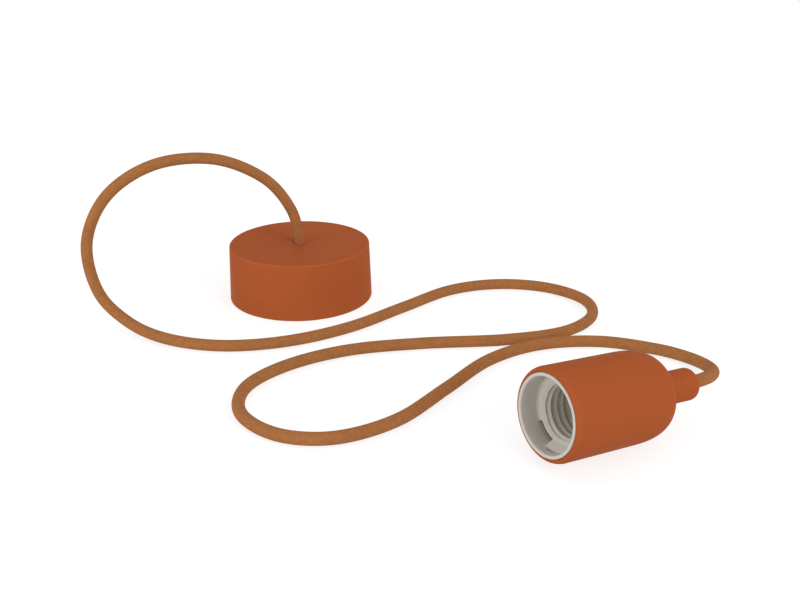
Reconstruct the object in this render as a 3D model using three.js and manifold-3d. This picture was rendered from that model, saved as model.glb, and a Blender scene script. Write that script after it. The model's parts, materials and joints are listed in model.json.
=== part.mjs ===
// Pendant cord set: a silicone ceiling rose, a braided two-core cord and an E27 lamp holder in a
// silicone sleeve. Millimetres, +Z up. The origin is the middle of the rose's back, the side that
// goes against the ceiling and that it stands on here. +X is the way the holder points, seen from above.

import * as THREE from 'three';
import { mergeVertices } from 'three/addons/utils/BufferGeometryUtils.js';
import Module from 'manifold-3d';

const wasm = await Module();
wasm.setup();

// Fits
const SEAT_GAP = 0.3;
const WELD_DISTANCE = 1e-3;
const CUT_THROUGH = 1;
const JOIN_DEPTH = 1;
const HOLE_BREAK_IN = 0.6;
const MITRE_LIMIT = 0.5;
const ROUND_SIDES = 36;
const GRIP_SIDES = 24;
const SMALL_SIDES = 16;
const FINE_SIDES = 12;
const SCREW_SLOT_SHARE = 0.35;

// Cord
const CORD_DIAMETER = 6.6;
const CORD_SIDES = 10;
const CORD_STEPS = 78;
const CORE_DIAMETER = 2.2;
const CORE_SIDES = 8;
const CORE_STEPS = 15;
const CORE_SPREAD = 1.4;
const CORE_WIDE_SPREAD = 2.8;
const CORE_LOOP_DROP = 2.5;
const CORE_LOOP_REACH = 4.4;
const CORE_BEND_RUN = 5;
const CORE_STRAIGHT_RUN = 2;
const CORD_RADIUS = CORD_DIAMETER / 2;
const CORE_RADIUS = CORE_DIAMETER / 2;
const CORD_HOLE_RADIUS = CORD_RADIUS + SEAT_GAP;
const LAID = CORD_RADIUS + 0.1;

// Ceiling rose cover
const ROSE_BASE_RADIUS = 45.2;
const ROSE_TOP_RADIUS = 44;
const ROSE_HEIGHT = 35;
const ROSE_WALL = 2.4;
const ROSE_TOP_THICKNESS = 3;
const ROSE_EDGE_ROUND = 2;
const ROSE_FOOT_ROUND = 0.5;
const LIP_THICKNESS = 1.3;
const LIP_DEPTH = 1.8;
const BEAD_HEIGHT = 1.8;
const BEAD_DEPTH = 1.1;
const BEAD_SLOPE = 0.77;
const COLLAR_WALL = 2.6;
const COLLAR_FLARE = 0.6;
const COLLAR_ROOM = 1.3;

// Ceiling plate
const FLANGE_THICKNESS = 2;
const PLATE_THICKNESS = 2.4;
const FLANGE_WIDTH = 6;
const FLANGE_CHAMFER = 1;
const CEILING_SLOT_WIDTH = 5.2;
const CEILING_SLOT_LENGTH = 12;
const CEILING_SLOT_PLACE = [25.4, -17.8];
const MAINS_HOLE_RADIUS = 7;
const MAINS_HOLE_PLACE = [-15, -22];
const MAINS_COLLAR_WALL = 1.4;
const PLATE_RIB_HEIGHT = 2.2;
const PLATE_RIB_WIDTH = 1.2;
const PLATE_RIB_ROOM = 2;
const BLIND_HOLE_FLOOR = 0.9;

// Hanger strap and the grip in it
const STRAP_WIDTH = 12;
const STRAP_THICKNESS = 1.2;
const STRAP_SCREW_INSET = 13.7;
const STRAP_BRIDGE_INSET = 10;
const STRAP_FOOT_OVERHANG = 6.5;
const STRAP_SLANT = 3;
const STRAP_RISE = 8.4;
const STRAP_BOSS_RADIUS = 4.2;
const STRAP_BOSS_HEIGHT = 3.6;
const STRAP_SCREW_RADIUS = 1.5;
const STRAP_SCREW_HEAD_RADIUS = 3.1;
const STRAP_SCREW_HEAD_HEIGHT = 2.1;
const GRIP_THREAD_RADIUS = 5;
const GRIP_HEAD_RADIUS = 7.4;
const GRIP_HEAD_HEIGHT = 9.5;
const GRIP_TAIL_LENGTH = 7;
const GRIP_HEAD_CHAMFER = 1.2;
const GRIP_TAIL_CHAMFER = 0.5;
const GRIP_NUT_RADIUS = 8;
const GRIP_NUT_HEIGHT = 3.2;
const GRIP_SCREW_RADIUS = 1.7;
const GRIP_SCREW_STANDS_OUT = 1.6;
const GRIP_SCREW_SLOT = [1.6, 0.6];

// Terminal block
const BLOCK_PLACE_Y = 21;
const BLOCK_LENGTH = 17;
const BLOCK_PITCH = 9.6;
const BLOCK_POLE_WIDTH = 8.2;
const BLOCK_BASE_HEIGHT = 7.6;
const BLOCK_TOWER_HEIGHT = 11.4;
const BLOCK_TOWER_RADIUS = 3.1;
const BLOCK_WEB_HEIGHT = 5;
const BLOCK_WEB_MARGIN = 1;
const BLOCK_TUBE_RADIUS = 2.3;
const BLOCK_TUBE_BORE = 1.5;
const BLOCK_TUBE_LENGTH = 15;
const BLOCK_TUBE_HEIGHT = 4.6;
const BLOCK_CLAMP_SPACING = 8;
const BLOCK_CLAMP_RADIUS = 1.2;
const BLOCK_CLAMP_HEAD_RADIUS = 1.7;
const BLOCK_CLAMP_HEAD_HEIGHT = 2.2;
const BLOCK_SCREW_RADIUS = 1.4;
const BLOCK_SCREW_HEAD_RADIUS = 2.6;
const BLOCK_SCREW_HEAD_HEIGHT = 1.7;
const CORE_ENTRY_DEPTH = 4;

// Lamp holder, where it lies and which way it points
const MOUTH_CENTRE = [1.7, -244, 26.03];
const HOLDER_TILT = THREE.MathUtils.degToRad(4.9);

// Silicone sleeve of the holder, measured along it from the mouth
const SLEEVE_START = 0.5;
const SLEEVE_LIP_WIDTH = 0.4;
const SLEEVE_FRONT_LENGTH = 3.5;
const SLEEVE_FRONT_WALL = 2.32;
const SLEEVE_WALL = 2.27;
const SHOULDER_START = 42.3;
const SHOULDER_END = 65;
const SHOULDER_POWER = 3;
const SHOULDER_POINTS = 9;
const INNER_SHOULDER_POINTS = 6;
const SHOULDER_WALL = 2.3;
const NECK_RADIUS = 8.05;
const NECK_END = 90.2;
const NECK_END_ROUND = 3;
const NECK_ROOT_ROUND = 1.2;
const NECK_WALL = 1.75;

// Moulded lamp holder liner
const MOUTH_RADIUS = 19.43;
const MOUTH_WALL = 1.7;
const MOUTH_EDGE_ROUND = 0.4;
const LEDGE_DEPTH = 9.5;
const LEDGE_THICKNESS = 2.2;
const LEDGE_NOTCH_COUNT = 2;
const LEDGE_NOTCH_ANGLE = THREE.MathUtils.degToRad(40);
const LEDGE_NOTCH_TURN = THREE.MathUtils.degToRad(32);
const LEDGE_NOTCH_INNER = 15.3;
const LEDGE_NOTCH_RELIEF = 0.15;
const SOCKET_WALL = 1.3;
const SOCKET_ENTRY_RADIUS = 14.4;
const SOCKET_END = 30.5;
const LATCH_RAMP_START = 5.6;
const LATCH_RAMP_LAND = 0.5;
const LATCH_RAMP_ANGLE = THREE.MathUtils.degToRad(45);
const LATCH_RAMP_TURN = THREE.MathUtils.degToRad(-11.5);
const LATCH_SLOT_WIDTH = 5.4;
const LATCH_SLOT_HEIGHT = 1.4;
const LATCH_SLOT_DEPTH = 0.9;
const LATCH_SLOT_TURN = THREE.MathUtils.degToRad(-6);
const SPIGOT_START = 30;
const SPIGOT_LENGTH = 5;
const SPIGOT_WALL = 1.5;

// Edison thread in the liner
const THREAD_PITCH = 3.629;
const THREAD_CREST_RADIUS = 12.2;
const THREAD_DEPTH = 1.1;
const THREAD_LEAD_IN = 0.5;
const THREAD_TURN_SIDES = 36;
const THREAD_RINGS_PER_PITCH = 6;

// Dome behind the liner
const DOME_WALL = 1.7;
const DOME_SEAT_WIDTH = 1.3;
const HUB_RADIUS = 6;
const HUB_END = 78.7;
const HUB_CHAMFER = 0.6;
const HUB_SCREW_PLACE = 70;
const HUB_SCREW_RADIUS = 1.5;
const HUB_SCREW_SUNK = 0.1;
const HUB_SCREW_SLOT = [1.2, 0.5];

// Contact insert and contacts
const INSERT_THICKNESS = 3;
const PILLAR_LENGTH = 12;
const PILLAR_WIDTH = 9;
const PILLAR_HEIGHT = 3.6;
const BARRIER_THICKNESS = 2;
const BARRIER_LENGTH = 26;
const BARRIER_HEIGHT = 7.5;
const STRIP_THICKNESS = 0.8;
const STRIP_WIDTH = 5;
const TAIL_SHORT_OF_TERMINAL = 1;
const CENTRE_TAIL_PLACE = 7.4;
const CENTRE_KNEE_PLACE = 4.2;
const CENTRE_TIP_RISE = 3;
const CENTRE_TIP_PLACE = -2;
const CENTRE_TIP_LENGTH = 2.5;
const CENTRE_TIP_SLOPE = 0.3;
const CENTRE_CURL = [1.6, 0.9];
const SIDE_TAIL_PLACE = 12.2;
const SIDE_TIP_REACH = 7;
const SIDE_BOW = 0.7;
const SIDE_CREST = [0.42, 1.6];
const SIDE_KNEE = 4;
const SIDE_SLOT_WIDTH = 7;
const SIDE_SLOT_LENGTH = 5;
const SIDE_SLOT_SHIFT = 1.5;
const TERMINAL_SIZE = [5.2, 7, 8];
const TERMINAL_BORE_DEPTH = 6;
const TERMINAL_SCREW_RADIUS = 1.2;
const TERMINAL_SCREW_HEAD_RADIUS = 2;
const TERMINAL_SCREW_HEAD_HEIGHT = 1.6;
const TERMINAL_SCREW_SLOT = [1.4, 0.6];
const TERMINAL_SCREW_PLACE = 4.6;
const HOLDER_CORE_ROOM = 0.6;
const HOLDER_CORE_BELLY = 6;
const HOLDER_CORE_STRAIGHT = 3;

// The way of the cord, from the grip in the rose to the hub of the holder: it springs out of the
// rose, arches over to the left, comes down to the surface, winds along it and turns into the neck
const CORD_ROUTE = [
  [0, 0, 18],
  [-0.2, 0, 37.5],
  [-5, 0.6, 58],
  [-21, 2.5, 79],
  [-50.5, 5.5, 94],
  [-85, 9.7, 94.5],
  [-113.5, 11.7, 80],
  [-127.5, 14.2, 53.5],
  [-125.5, 10.7, 24],
  [-114, -4.3, 7.5],
  [-100, -31.8, 4],
  [-75.5, -55.8, LAID],
  [-41.5, -68.8, LAID],
  [-2, -69.8, LAID],
  [40.5, -60.3, LAID],
  [81, -51.8, LAID],
  [113.5, -59.3, LAID],
  [136.5, -80.3, LAID],
  [143.5, -108.3, LAID],
  [130, -130.8, LAID],
  [101.5, -139.8, LAID],
  [65.5, -131.3, LAID],
  [22, -110.8, LAID],
  [-17.5, -97.3, LAID],
  [-54.5, -96.8, LAID],
  [-84, -108.8, LAID],
  [-97.5, -133.3, LAID],
  [-91, -161.3, LAID],
  [-68.5, -178.3, LAID],
  [-35, -178.8, LAID],
  [3, -163.8, LAID],
  [42, -147.8, LAID],
  [77.5, -146.3, LAID],
  [109, -160.3, LAID],
  [129.5, -184.3, LAID],
  [136.5, -203.8, LAID + 0.5],
  [131.5, -222.3, 7],
  [111, -239.8, 15.5],
  [91.9, -244, 18.3],
  [67.5, -244, 20.4],
];

// Materials
function finish(colour, roughness, metalness = 0) {
  return new THREE.MeshStandardMaterial({ color: colour, roughness, metalness });
}
const SILICONE = finish(0xa85629, 0.62);
const BRAID = finish(0xa26637, 0.85);
const LINER_PLASTIC = finish(0xc5bcae, 0.45);
const WHITE_NYLON = finish(0xe4e0d6, 0.5);
const CLEAR_POLYAMIDE = finish(0xd9d6cc, 0.35);
const ZINC_STEEL = finish(0xb9bcc0, 0.35, 1);
const BRASS = finish(0xc8a45a, 0.3, 1);
const BROWN_CORE = finish(0x6b3f22, 0.5);
const BLUE_CORE = finish(0x2f5f9e, 0.5);

// Solids

function signedVolume(positions, triangles) {
  const corner = [new THREE.Vector3(), new THREE.Vector3(), new THREE.Vector3()];
  let total = 0;
  for (let i = 0; i < triangles.length; i += 3) {
    corner.forEach((point, k) => point.fromArray(positions, 3 * triangles[i + k]));
    total += corner[0].dot(corner[1].cross(corner[2])) / 6;
  }
  return total;
}

// A closed geometry as a solid, its seams welded and its faces turned outwards
function solid(geometry) {
  const bare = geometry.clone();
  bare.deleteAttribute('normal');
  bare.deleteAttribute('uv');
  const welded = mergeVertices(bare, WELD_DISTANCE);
  const positions = welded.attributes.position.array;
  const triangles = [];
  for (let i = 0; i < welded.index.count; i += 3) {
    const [a, b, c] = [0, 1, 2].map((k) => welded.index.getX(i + k));
    if (a !== b && b !== c && c !== a) {
      triangles.push(a, b, c);
    }
  }
  if (signedVolume(positions, triangles) < 0) {
    triangles.reverse();
  }
  const mesh = new wasm.Mesh({
    numProp: 3,
    vertProperties: new Float32Array(positions),
    triVerts: new Uint32Array(triangles),
  });
  return new wasm.Manifold(mesh);
}

function join(first, ...others) {
  return others.reduce((whole, other) => whole.add(other), first);
}

function cut(body, ...tools) {
  return tools.reduce((whole, tool) => whole.subtract(tool), body);
}

// A named mesh with the shape of a solid
function piece(name, body, material) {
  const mesh = body.getMesh();
  const geometry = new THREE.BufferGeometry();
  geometry.setAttribute('position', new THREE.BufferAttribute(new Float32Array(mesh.vertProperties), 3));
  geometry.setIndex(new THREE.BufferAttribute(new Uint32Array(mesh.triVerts), 1));
  geometry.computeVertexNormals();
  const result = new THREE.Mesh(geometry, material);
  result.name = name;
  return result;
}

// A closed profile of [radius, height] turned about Z
function turned(profile, sides = ROUND_SIDES) {
  const points = [...profile, profile[0]].map(([radius, height]) => new THREE.Vector2(radius, height));
  return solid(new THREE.LatheGeometry(points, sides).rotateX(Math.PI / 2));
}

// A round rod along Z from one height to another, shifted sideways
function rod(radius, low, high, [x, y] = [0, 0], sides = SMALL_SIDES) {
  const geometry = new THREE.CylinderGeometry(radius, radius, high - low, sides);
  return solid(geometry.rotateX(Math.PI / 2).translate(x, y, (low + high) / 2));
}

// A round rod along Y
function crossRod(radius, low, high, [x, z], sides = SMALL_SIDES) {
  const geometry = new THREE.CylinderGeometry(radius, radius, high - low, sides);
  return solid(geometry.translate(x, (low + high) / 2, z));
}

// A round rod along X
function sideRod(radius, low, high, [y, z], sides = SMALL_SIDES) {
  const geometry = new THREE.CylinderGeometry(radius, radius, high - low, sides);
  return solid(geometry.rotateZ(Math.PI / 2).translate((low + high) / 2, y, z));
}

function block([width, depth, height], [x, y, z]) {
  return solid(new THREE.BoxGeometry(width, depth, height).translate(x, y, z));
}

// An outline in X and Z, given a width along Y
function stripOf(outline, width) {
  const shape = new THREE.Shape(outline.map(([x, z]) => new THREE.Vector2(x, z)));
  const geometry = new THREE.ExtrudeGeometry(shape, { depth: width, bevelEnabled: false });
  return solid(geometry.rotateX(Math.PI / 2).translate(0, width / 2, 0));
}

// Both sides of a strip of sheet that follows a line of [x, z] points
function sheetOutline(line, thickness) {
  const half = thickness / 2;
  const sides = line.map((point, i) => {
    const before = new THREE.Vector2(...line[Math.max(i - 1, 0)]);
    const after = new THREE.Vector2(...line[Math.min(i + 1, line.length - 1)]);
    const here = new THREE.Vector2(...point);
    const inward = here.clone().sub(before).normalize();
    const outward = after.clone().sub(here).normalize();
    const run = inward.add(outward).normalize();
    const leg = (i === 0 ? after.clone().sub(here) : here.clone().sub(before)).normalize();
    const across = new THREE.Vector2(-run.y, run.x);
    const stretch = half / Math.max(Math.abs(across.dot(new THREE.Vector2(-leg.y, leg.x))), MITRE_LIMIT);
    return [across.x * stretch, across.y * stretch];
  });
  const left = line.map(([x, z], i) => [x + sides[i][0], z + sides[i][1]]);
  const right = line.map(([x, z], i) => [x - sides[i][0], z - sides[i][1]]);
  return [...left, ...right.reverse()];
}

// A regular polygon round a radius, for cords, cores and nuts
function ringShape(radius, sides) {
  const shape = new THREE.Shape();
  for (let i = 0; i < sides; i += 1) {
    const turn = (2 * Math.PI * i) / sides;
    const corner = [radius * Math.cos(turn), radius * Math.sin(turn)];
    if (i === 0) {
      shape.moveTo(...corner);
    } else {
      shape.lineTo(...corner);
    }
  }
  shape.closePath();
  return shape;
}

// A round tube along the smooth curve through some points
function tubeAlong(points, radius, sides, steps) {
  const knots = points.map((point) => new THREE.Vector3(...point));
  const curve = new THREE.CatmullRomCurve3(knots, false, 'catmullrom', 0.5);
  return solid(new THREE.ExtrudeGeometry(ringShape(radius, sides), { steps, extrudePath: curve }));
}

// A screw along Z with its slotted head on top, the underside of the head at the seat
function slottedScrew({ radius, length, headRadius, headHeight, seat, place }) {
  const top = seat + headHeight;
  const shank = rod(radius, seat - length, seat + headHeight / 2, place, FINE_SIDES);
  const head = rod(headRadius, seat, top, place);
  const slotWidth = headRadius * SCREW_SLOT_SHARE;
  const slot = block([2 * headRadius + CUT_THROUGH, slotWidth, headHeight], [...place, top]);
  return cut(join(shank, head), slot);
}

// Ceiling rose

const roseInner = (height) => {
  const share = height / ROSE_HEIGHT;
  return THREE.MathUtils.lerp(ROSE_BASE_RADIUS, ROSE_TOP_RADIUS, share) - ROSE_WALL;
};
const lipInner = roseInner(0) - LIP_DEPTH;
const flangeLow = LIP_THICKNESS + SEAT_GAP;
const flangeHigh = flangeLow + FLANGE_THICKNESS;
const grooveHigh = flangeHigh + SEAT_GAP;
const beadHigh = grooveHigh + BEAD_HEIGHT;
const strapFoot = STRAP_BOSS_HEIGHT + PLATE_THICKNESS + SEAT_GAP;
const strapUnder = strapFoot + STRAP_RISE;
const strapTop = strapUnder + STRAP_THICKNESS;
const plateRadius = lipInner - SEAT_GAP;
const strapScrewPlace = plateRadius - STRAP_SCREW_INSET;
const gripBottom = strapUnder - GRIP_TAIL_LENGTH;
const gripHeadLow = strapTop + SEAT_GAP;
const gripTop = gripHeadLow + GRIP_HEAD_HEIGHT;
const gripScrewHeight = gripHeadLow + GRIP_HEAD_HEIGHT / 2;

// Quarter round between two directions, as [radius, height] points
function quarterRound([radius, height], size, from, to, points = 5) {
  return Array.from({ length: points }, (_, i) => {
    const turn = THREE.MathUtils.lerp(from, to, i / (points - 1));
    return [radius + size * Math.cos(turn), height + size * Math.sin(turn)];
  });
}

function roseCover() {
  const collarRadius = CORD_HOLE_RADIUS + COLLAR_WALL;
  const collarEnd = gripTop + COLLAR_ROOM;
  const ceilingHeight = ROSE_HEIGHT - ROSE_TOP_THICKNESS;
  const foot = [ROSE_BASE_RADIUS - ROSE_FOOT_ROUND, ROSE_FOOT_ROUND];
  const edge = [ROSE_TOP_RADIUS - ROSE_EDGE_ROUND, ROSE_HEIGHT - ROSE_EDGE_ROUND];
  return turned([
    [lipInner, 0],
    ...quarterRound(foot, ROSE_FOOT_ROUND, -Math.PI / 2, 0, 3),
    ...quarterRound(edge, ROSE_EDGE_ROUND, 0, Math.PI / 2, 5),
    [CORD_HOLE_RADIUS, ROSE_HEIGHT],
    [CORD_HOLE_RADIUS, collarEnd],
    [collarRadius, collarEnd],
    [collarRadius + COLLAR_FLARE, ceilingHeight],
    [roseInner(ceilingHeight), ceilingHeight],
    [roseInner(beadHigh), beadHigh],
    [roseInner(grooveHigh) - BEAD_DEPTH, beadHigh - BEAD_SLOPE],
    [roseInner(grooveHigh) - BEAD_DEPTH, grooveHigh],
    [roseInner(grooveHigh), grooveHigh],
    [roseInner(LIP_THICKNESS), LIP_THICKNESS],
    [lipInner, LIP_THICKNESS],
  ]);
}

function ceilingSlot(side) {
  const [x, y] = CEILING_SLOT_PLACE;
  const straight = CEILING_SLOT_LENGTH - CEILING_SLOT_WIDTH;
  const shape = new THREE.Shape();
  shape.absarc(straight / 2, 0, CEILING_SLOT_WIDTH / 2, -Math.PI / 2, Math.PI / 2, false);
  shape.absarc(-straight / 2, 0, CEILING_SLOT_WIDTH / 2, Math.PI / 2, (3 * Math.PI) / 2, false);
  const depth = flangeHigh + 2 * CUT_THROUGH;
  const geometry = new THREE.ExtrudeGeometry(shape, { depth, bevelEnabled: false, curveSegments: 5 });
  return solid(geometry.translate(side * x, side * y, -CUT_THROUGH));
}

function rosePlate() {
  const flangeRadius = roseInner(grooveHigh) - SEAT_GAP;
  const ringInner = flangeRadius - FLANGE_WIDTH;
  const disc = turned([
    [0, 0],
    [plateRadius, 0],
    [plateRadius, flangeLow],
    [flangeRadius, flangeLow],
    [flangeRadius, flangeHigh],
    [ringInner, flangeHigh],
    [ringInner - FLANGE_CHAMFER, PLATE_THICKNESS],
    [0, PLATE_THICKNESS],
  ]);
  const bosses = [-1, 1].map((side) => rod(
    STRAP_BOSS_RADIUS, PLATE_THICKNESS / 2, strapFoot - SEAT_GAP, [side * strapScrewPlace, 0],
  ));
  const collar = rod(
    MAINS_HOLE_RADIUS + MAINS_COLLAR_WALL, PLATE_THICKNESS / 2, PLATE_THICKNESS + PLATE_RIB_HEIGHT,
    MAINS_HOLE_PLACE, GRIP_SIDES,
  );
  const ribHeight = PLATE_THICKNESS / 2 + PLATE_RIB_HEIGHT;
  const ribStart = GRIP_NUT_RADIUS + PLATE_RIB_ROOM;
  const ribs = [-1, 1].map((side) => block(
    [strapScrewPlace - ribStart, PLATE_RIB_WIDTH, ribHeight],
    [side * (strapScrewPlace + ribStart) / 2, 0, (PLATE_THICKNESS + ribHeight) / 2],
  ));
  const bossHoles = [-1, 1].map((side) => rod(
    STRAP_SCREW_RADIUS + SEAT_GAP, BLIND_HOLE_FLOOR, strapFoot + CUT_THROUGH,
    [side * strapScrewPlace, 0], FINE_SIDES,
  ));
  const mainsHole = rod(
    MAINS_HOLE_RADIUS, -CUT_THROUGH, flangeHigh + PLATE_RIB_HEIGHT + CUT_THROUGH,
    MAINS_HOLE_PLACE, GRIP_SIDES,
  );
  const screwHole = rod(
    BLOCK_SCREW_RADIUS + SEAT_GAP, BLIND_HOLE_FLOOR, PLATE_THICKNESS + CUT_THROUGH,
    [0, BLOCK_PLACE_Y], FINE_SIDES,
  );
  const slots = [-1, 1].map(ceilingSlot);
  return cut(join(disc, ...bosses, collar, ...ribs), ...bossHoles, mainsHole, screwHole, ...slots);
}

function hangerStrap() {
  const low = strapFoot + STRAP_THICKNESS / 2;
  const high = strapUnder + STRAP_THICKNESS / 2;
  const bridgeHalf = strapScrewPlace - STRAP_BRIDGE_INSET;
  const footInner = bridgeHalf + STRAP_SLANT;
  const footOuter = strapScrewPlace + STRAP_FOOT_OVERHANG;
  const line = [
    [-footOuter, low],
    [-footInner, low],
    [-bridgeHalf, high],
    [bridgeHalf, high],
    [footInner, low],
    [footOuter, low],
  ];
  const strip = stripOf(sheetOutline(line, STRAP_THICKNESS), STRAP_WIDTH);
  const gripHole = rod(GRIP_THREAD_RADIUS + SEAT_GAP, strapUnder - CUT_THROUGH, strapTop + CUT_THROUGH);
  const screwHoles = [-1, 1].map((side) => rod(
    STRAP_SCREW_RADIUS + SEAT_GAP, strapFoot - CUT_THROUGH, strapFoot + STRAP_THICKNESS + CUT_THROUGH,
    [side * strapScrewPlace, 0], FINE_SIDES,
  ));
  return cut(strip, gripHole, ...screwHoles);
}

function strapScrew(side) {
  return slottedScrew({
    radius: STRAP_SCREW_RADIUS,
    length: STRAP_THICKNESS + STRAP_BOSS_HEIGHT,
    headRadius: STRAP_SCREW_HEAD_RADIUS,
    headHeight: STRAP_SCREW_HEAD_HEIGHT,
    seat: strapFoot + STRAP_THICKNESS + SEAT_GAP,
    place: [side * strapScrewPlace, 0],
  });
}

function gripNipple() {
  const body = turned([
    [CORD_HOLE_RADIUS, gripBottom],
    [GRIP_THREAD_RADIUS - GRIP_TAIL_CHAMFER, gripBottom],
    [GRIP_THREAD_RADIUS, gripBottom + GRIP_TAIL_CHAMFER],
    [GRIP_THREAD_RADIUS, gripHeadLow],
    [GRIP_HEAD_RADIUS, gripHeadLow],
    [GRIP_HEAD_RADIUS, gripTop - GRIP_HEAD_CHAMFER],
    [GRIP_HEAD_RADIUS - GRIP_HEAD_CHAMFER, gripTop],
    [CORD_HOLE_RADIUS, gripTop],
  ], GRIP_SIDES);
  const screwHole = crossRod(
    GRIP_SCREW_RADIUS + SEAT_GAP, -GRIP_HEAD_RADIUS - CUT_THROUGH, HOLE_BREAK_IN - CORD_HOLE_RADIUS,
    [0, gripScrewHeight], FINE_SIDES,
  );
  return cut(body, screwHole);
}

function gripNut() {
  const high = strapUnder - SEAT_GAP;
  const low = high - GRIP_NUT_HEIGHT;
  const hexagon = rod(GRIP_NUT_RADIUS, low, high, [0, 0], 6);
  return cut(hexagon, rod(GRIP_THREAD_RADIUS + SEAT_GAP, low - CUT_THROUGH, high + CUT_THROUGH));
}

function gripScrew() {
  const tip = -CORD_HOLE_RADIUS;
  const end = -GRIP_HEAD_RADIUS - GRIP_SCREW_STANDS_OUT;
  const shank = crossRod(GRIP_SCREW_RADIUS, end, tip, [0, gripScrewHeight], FINE_SIDES);
  const slot = block([2 * GRIP_SCREW_RADIUS + CUT_THROUGH, ...GRIP_SCREW_SLOT], [0, end, gripScrewHeight]);
  return cut(shank, slot);
}

// Terminal block on the plate

const blockLow = PLATE_THICKNESS + SEAT_GAP;
const tubeAxisHeight = blockLow + BLOCK_TUBE_HEIGHT;
const poles = [-BLOCK_PITCH / 2, BLOCK_PITCH / 2];
const clampPlaces = [-1, 1].map((end) => BLOCK_PLACE_Y + (end * BLOCK_CLAMP_SPACING) / 2);
const clampSeat = tubeAxisHeight + BLOCK_TUBE_RADIUS + SEAT_GAP;

function terminalBlock() {
  const front = BLOCK_PLACE_Y - BLOCK_LENGTH / 2;
  const back = BLOCK_PLACE_Y + BLOCK_LENGTH / 2;
  const bodies = poles.map((x) => block(
    [BLOCK_POLE_WIDTH, BLOCK_LENGTH, BLOCK_BASE_HEIGHT],
    [x, BLOCK_PLACE_Y, blockLow + BLOCK_BASE_HEIGHT / 2],
  ));
  const towers = poles.flatMap((x) => clampPlaces.map((y) => rod(
    BLOCK_TOWER_RADIUS, blockLow + JOIN_DEPTH, blockLow + BLOCK_TOWER_HEIGHT, [x, y],
  )));
  const web = block(
    [BLOCK_PITCH, 2 * (BLOCK_SCREW_HEAD_RADIUS + BLOCK_WEB_MARGIN), BLOCK_WEB_HEIGHT],
    [0, BLOCK_PLACE_Y, blockLow + BLOCK_WEB_HEIGHT / 2],
  );
  const tubes = poles.map((x) => crossRod(
    BLOCK_TUBE_RADIUS + SEAT_GAP, front - CUT_THROUGH, back + CUT_THROUGH, [x, tubeAxisHeight],
  ));
  const wells = poles.flatMap((x) => clampPlaces.map((y) => rod(
    BLOCK_CLAMP_HEAD_RADIUS + SEAT_GAP, tubeAxisHeight, blockLow + BLOCK_TOWER_HEIGHT + CUT_THROUGH,
    [x, y], FINE_SIDES,
  )));
  const screwHole = rod(
    BLOCK_SCREW_RADIUS + SEAT_GAP, blockLow - CUT_THROUGH, blockLow + BLOCK_WEB_HEIGHT + CUT_THROUGH,
    [0, BLOCK_PLACE_Y], FINE_SIDES,
  );
  const headRoom = rod(
    BLOCK_SCREW_HEAD_RADIUS + SEAT_GAP, blockLow + BLOCK_WEB_HEIGHT,
    blockLow + BLOCK_TOWER_HEIGHT + CUT_THROUGH, [0, BLOCK_PLACE_Y],
  );
  return cut(join(...bodies, ...towers, web), ...tubes, ...wells, screwHole, headRoom);
}

function blockTube(x) {
  const low = BLOCK_PLACE_Y - BLOCK_TUBE_LENGTH / 2;
  const high = BLOCK_PLACE_Y + BLOCK_TUBE_LENGTH / 2;
  const outside = crossRod(BLOCK_TUBE_RADIUS, low, high, [x, tubeAxisHeight]);
  const bore = crossRod(BLOCK_TUBE_BORE, low - CUT_THROUGH, high + CUT_THROUGH, [x, tubeAxisHeight]);
  const holes = clampPlaces.map((y) => rod(
    BLOCK_CLAMP_RADIUS + SEAT_GAP, tubeAxisHeight, tubeAxisHeight + BLOCK_TUBE_RADIUS + CUT_THROUGH,
    [x, y], FINE_SIDES,
  ));
  return cut(outside, bore, ...holes);
}

function blockClampScrew(x, y) {
  return slottedScrew({
    radius: BLOCK_CLAMP_RADIUS,
    length: clampSeat - tubeAxisHeight - CORE_RADIUS - SEAT_GAP,
    headRadius: BLOCK_CLAMP_HEAD_RADIUS,
    headHeight: BLOCK_CLAMP_HEAD_HEIGHT,
    seat: clampSeat,
    place: [x, y],
  });
}

function blockScrew() {
  const seat = blockLow + BLOCK_WEB_HEIGHT + SEAT_GAP;
  return slottedScrew({
    radius: BLOCK_SCREW_RADIUS,
    length: seat - BLIND_HOLE_FLOOR - SEAT_GAP,
    headRadius: BLOCK_SCREW_HEAD_RADIUS,
    headHeight: BLOCK_SCREW_HEAD_HEIGHT,
    seat,
    place: [0, BLOCK_PLACE_Y],
  });
}

function roseCore(side) {
  const start = CORD_ROUTE[0][2] - SEAT_GAP;
  const tubeMouth = BLOCK_PLACE_Y - BLOCK_TUBE_LENGTH / 2;
  const pole = (side * BLOCK_PITCH) / 2;
  const loopLow = gripBottom - CORE_LOOP_DROP;
  return tubeAlong([
    [side * CORE_SPREAD, 0, start],
    [side * CORE_SPREAD, 0, gripBottom + CORE_RADIUS],
    [side * CORE_SPREAD, CORE_RADIUS, loopLow + CORE_RADIUS],
    [side * CORE_WIDE_SPREAD, CORE_LOOP_REACH, loopLow],
    [pole, tubeMouth - CORE_BEND_RUN, tubeAxisHeight - CORE_RADIUS / 2],
    [pole, tubeMouth - CORE_STRAIGHT_RUN, tubeAxisHeight],
    [pole, tubeMouth + CORE_ENTRY_DEPTH, tubeAxisHeight],
  ], CORE_RADIUS, CORE_SIDES, CORE_STEPS);
}

// Lamp holder, built along its own axis from the mouth, Z being the way to the neck

// Rounded shoulder between a wide and a narrow radius, as [radius, distance] points
function shoulder(wide, narrow, start, end, points = INNER_SHOULDER_POINTS) {
  return Array.from({ length: points }, (_, i) => {
    const turn = (Math.PI / 2) * (i / (points - 1));
    const share = 2 / SHOULDER_POWER;
    const across = Math.max(Math.cos(turn), 0) ** share;
    const along = Math.sin(turn) ** share;
    return [narrow + (wide - narrow) * across, start + (end - start) * along];
  });
}

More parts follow.
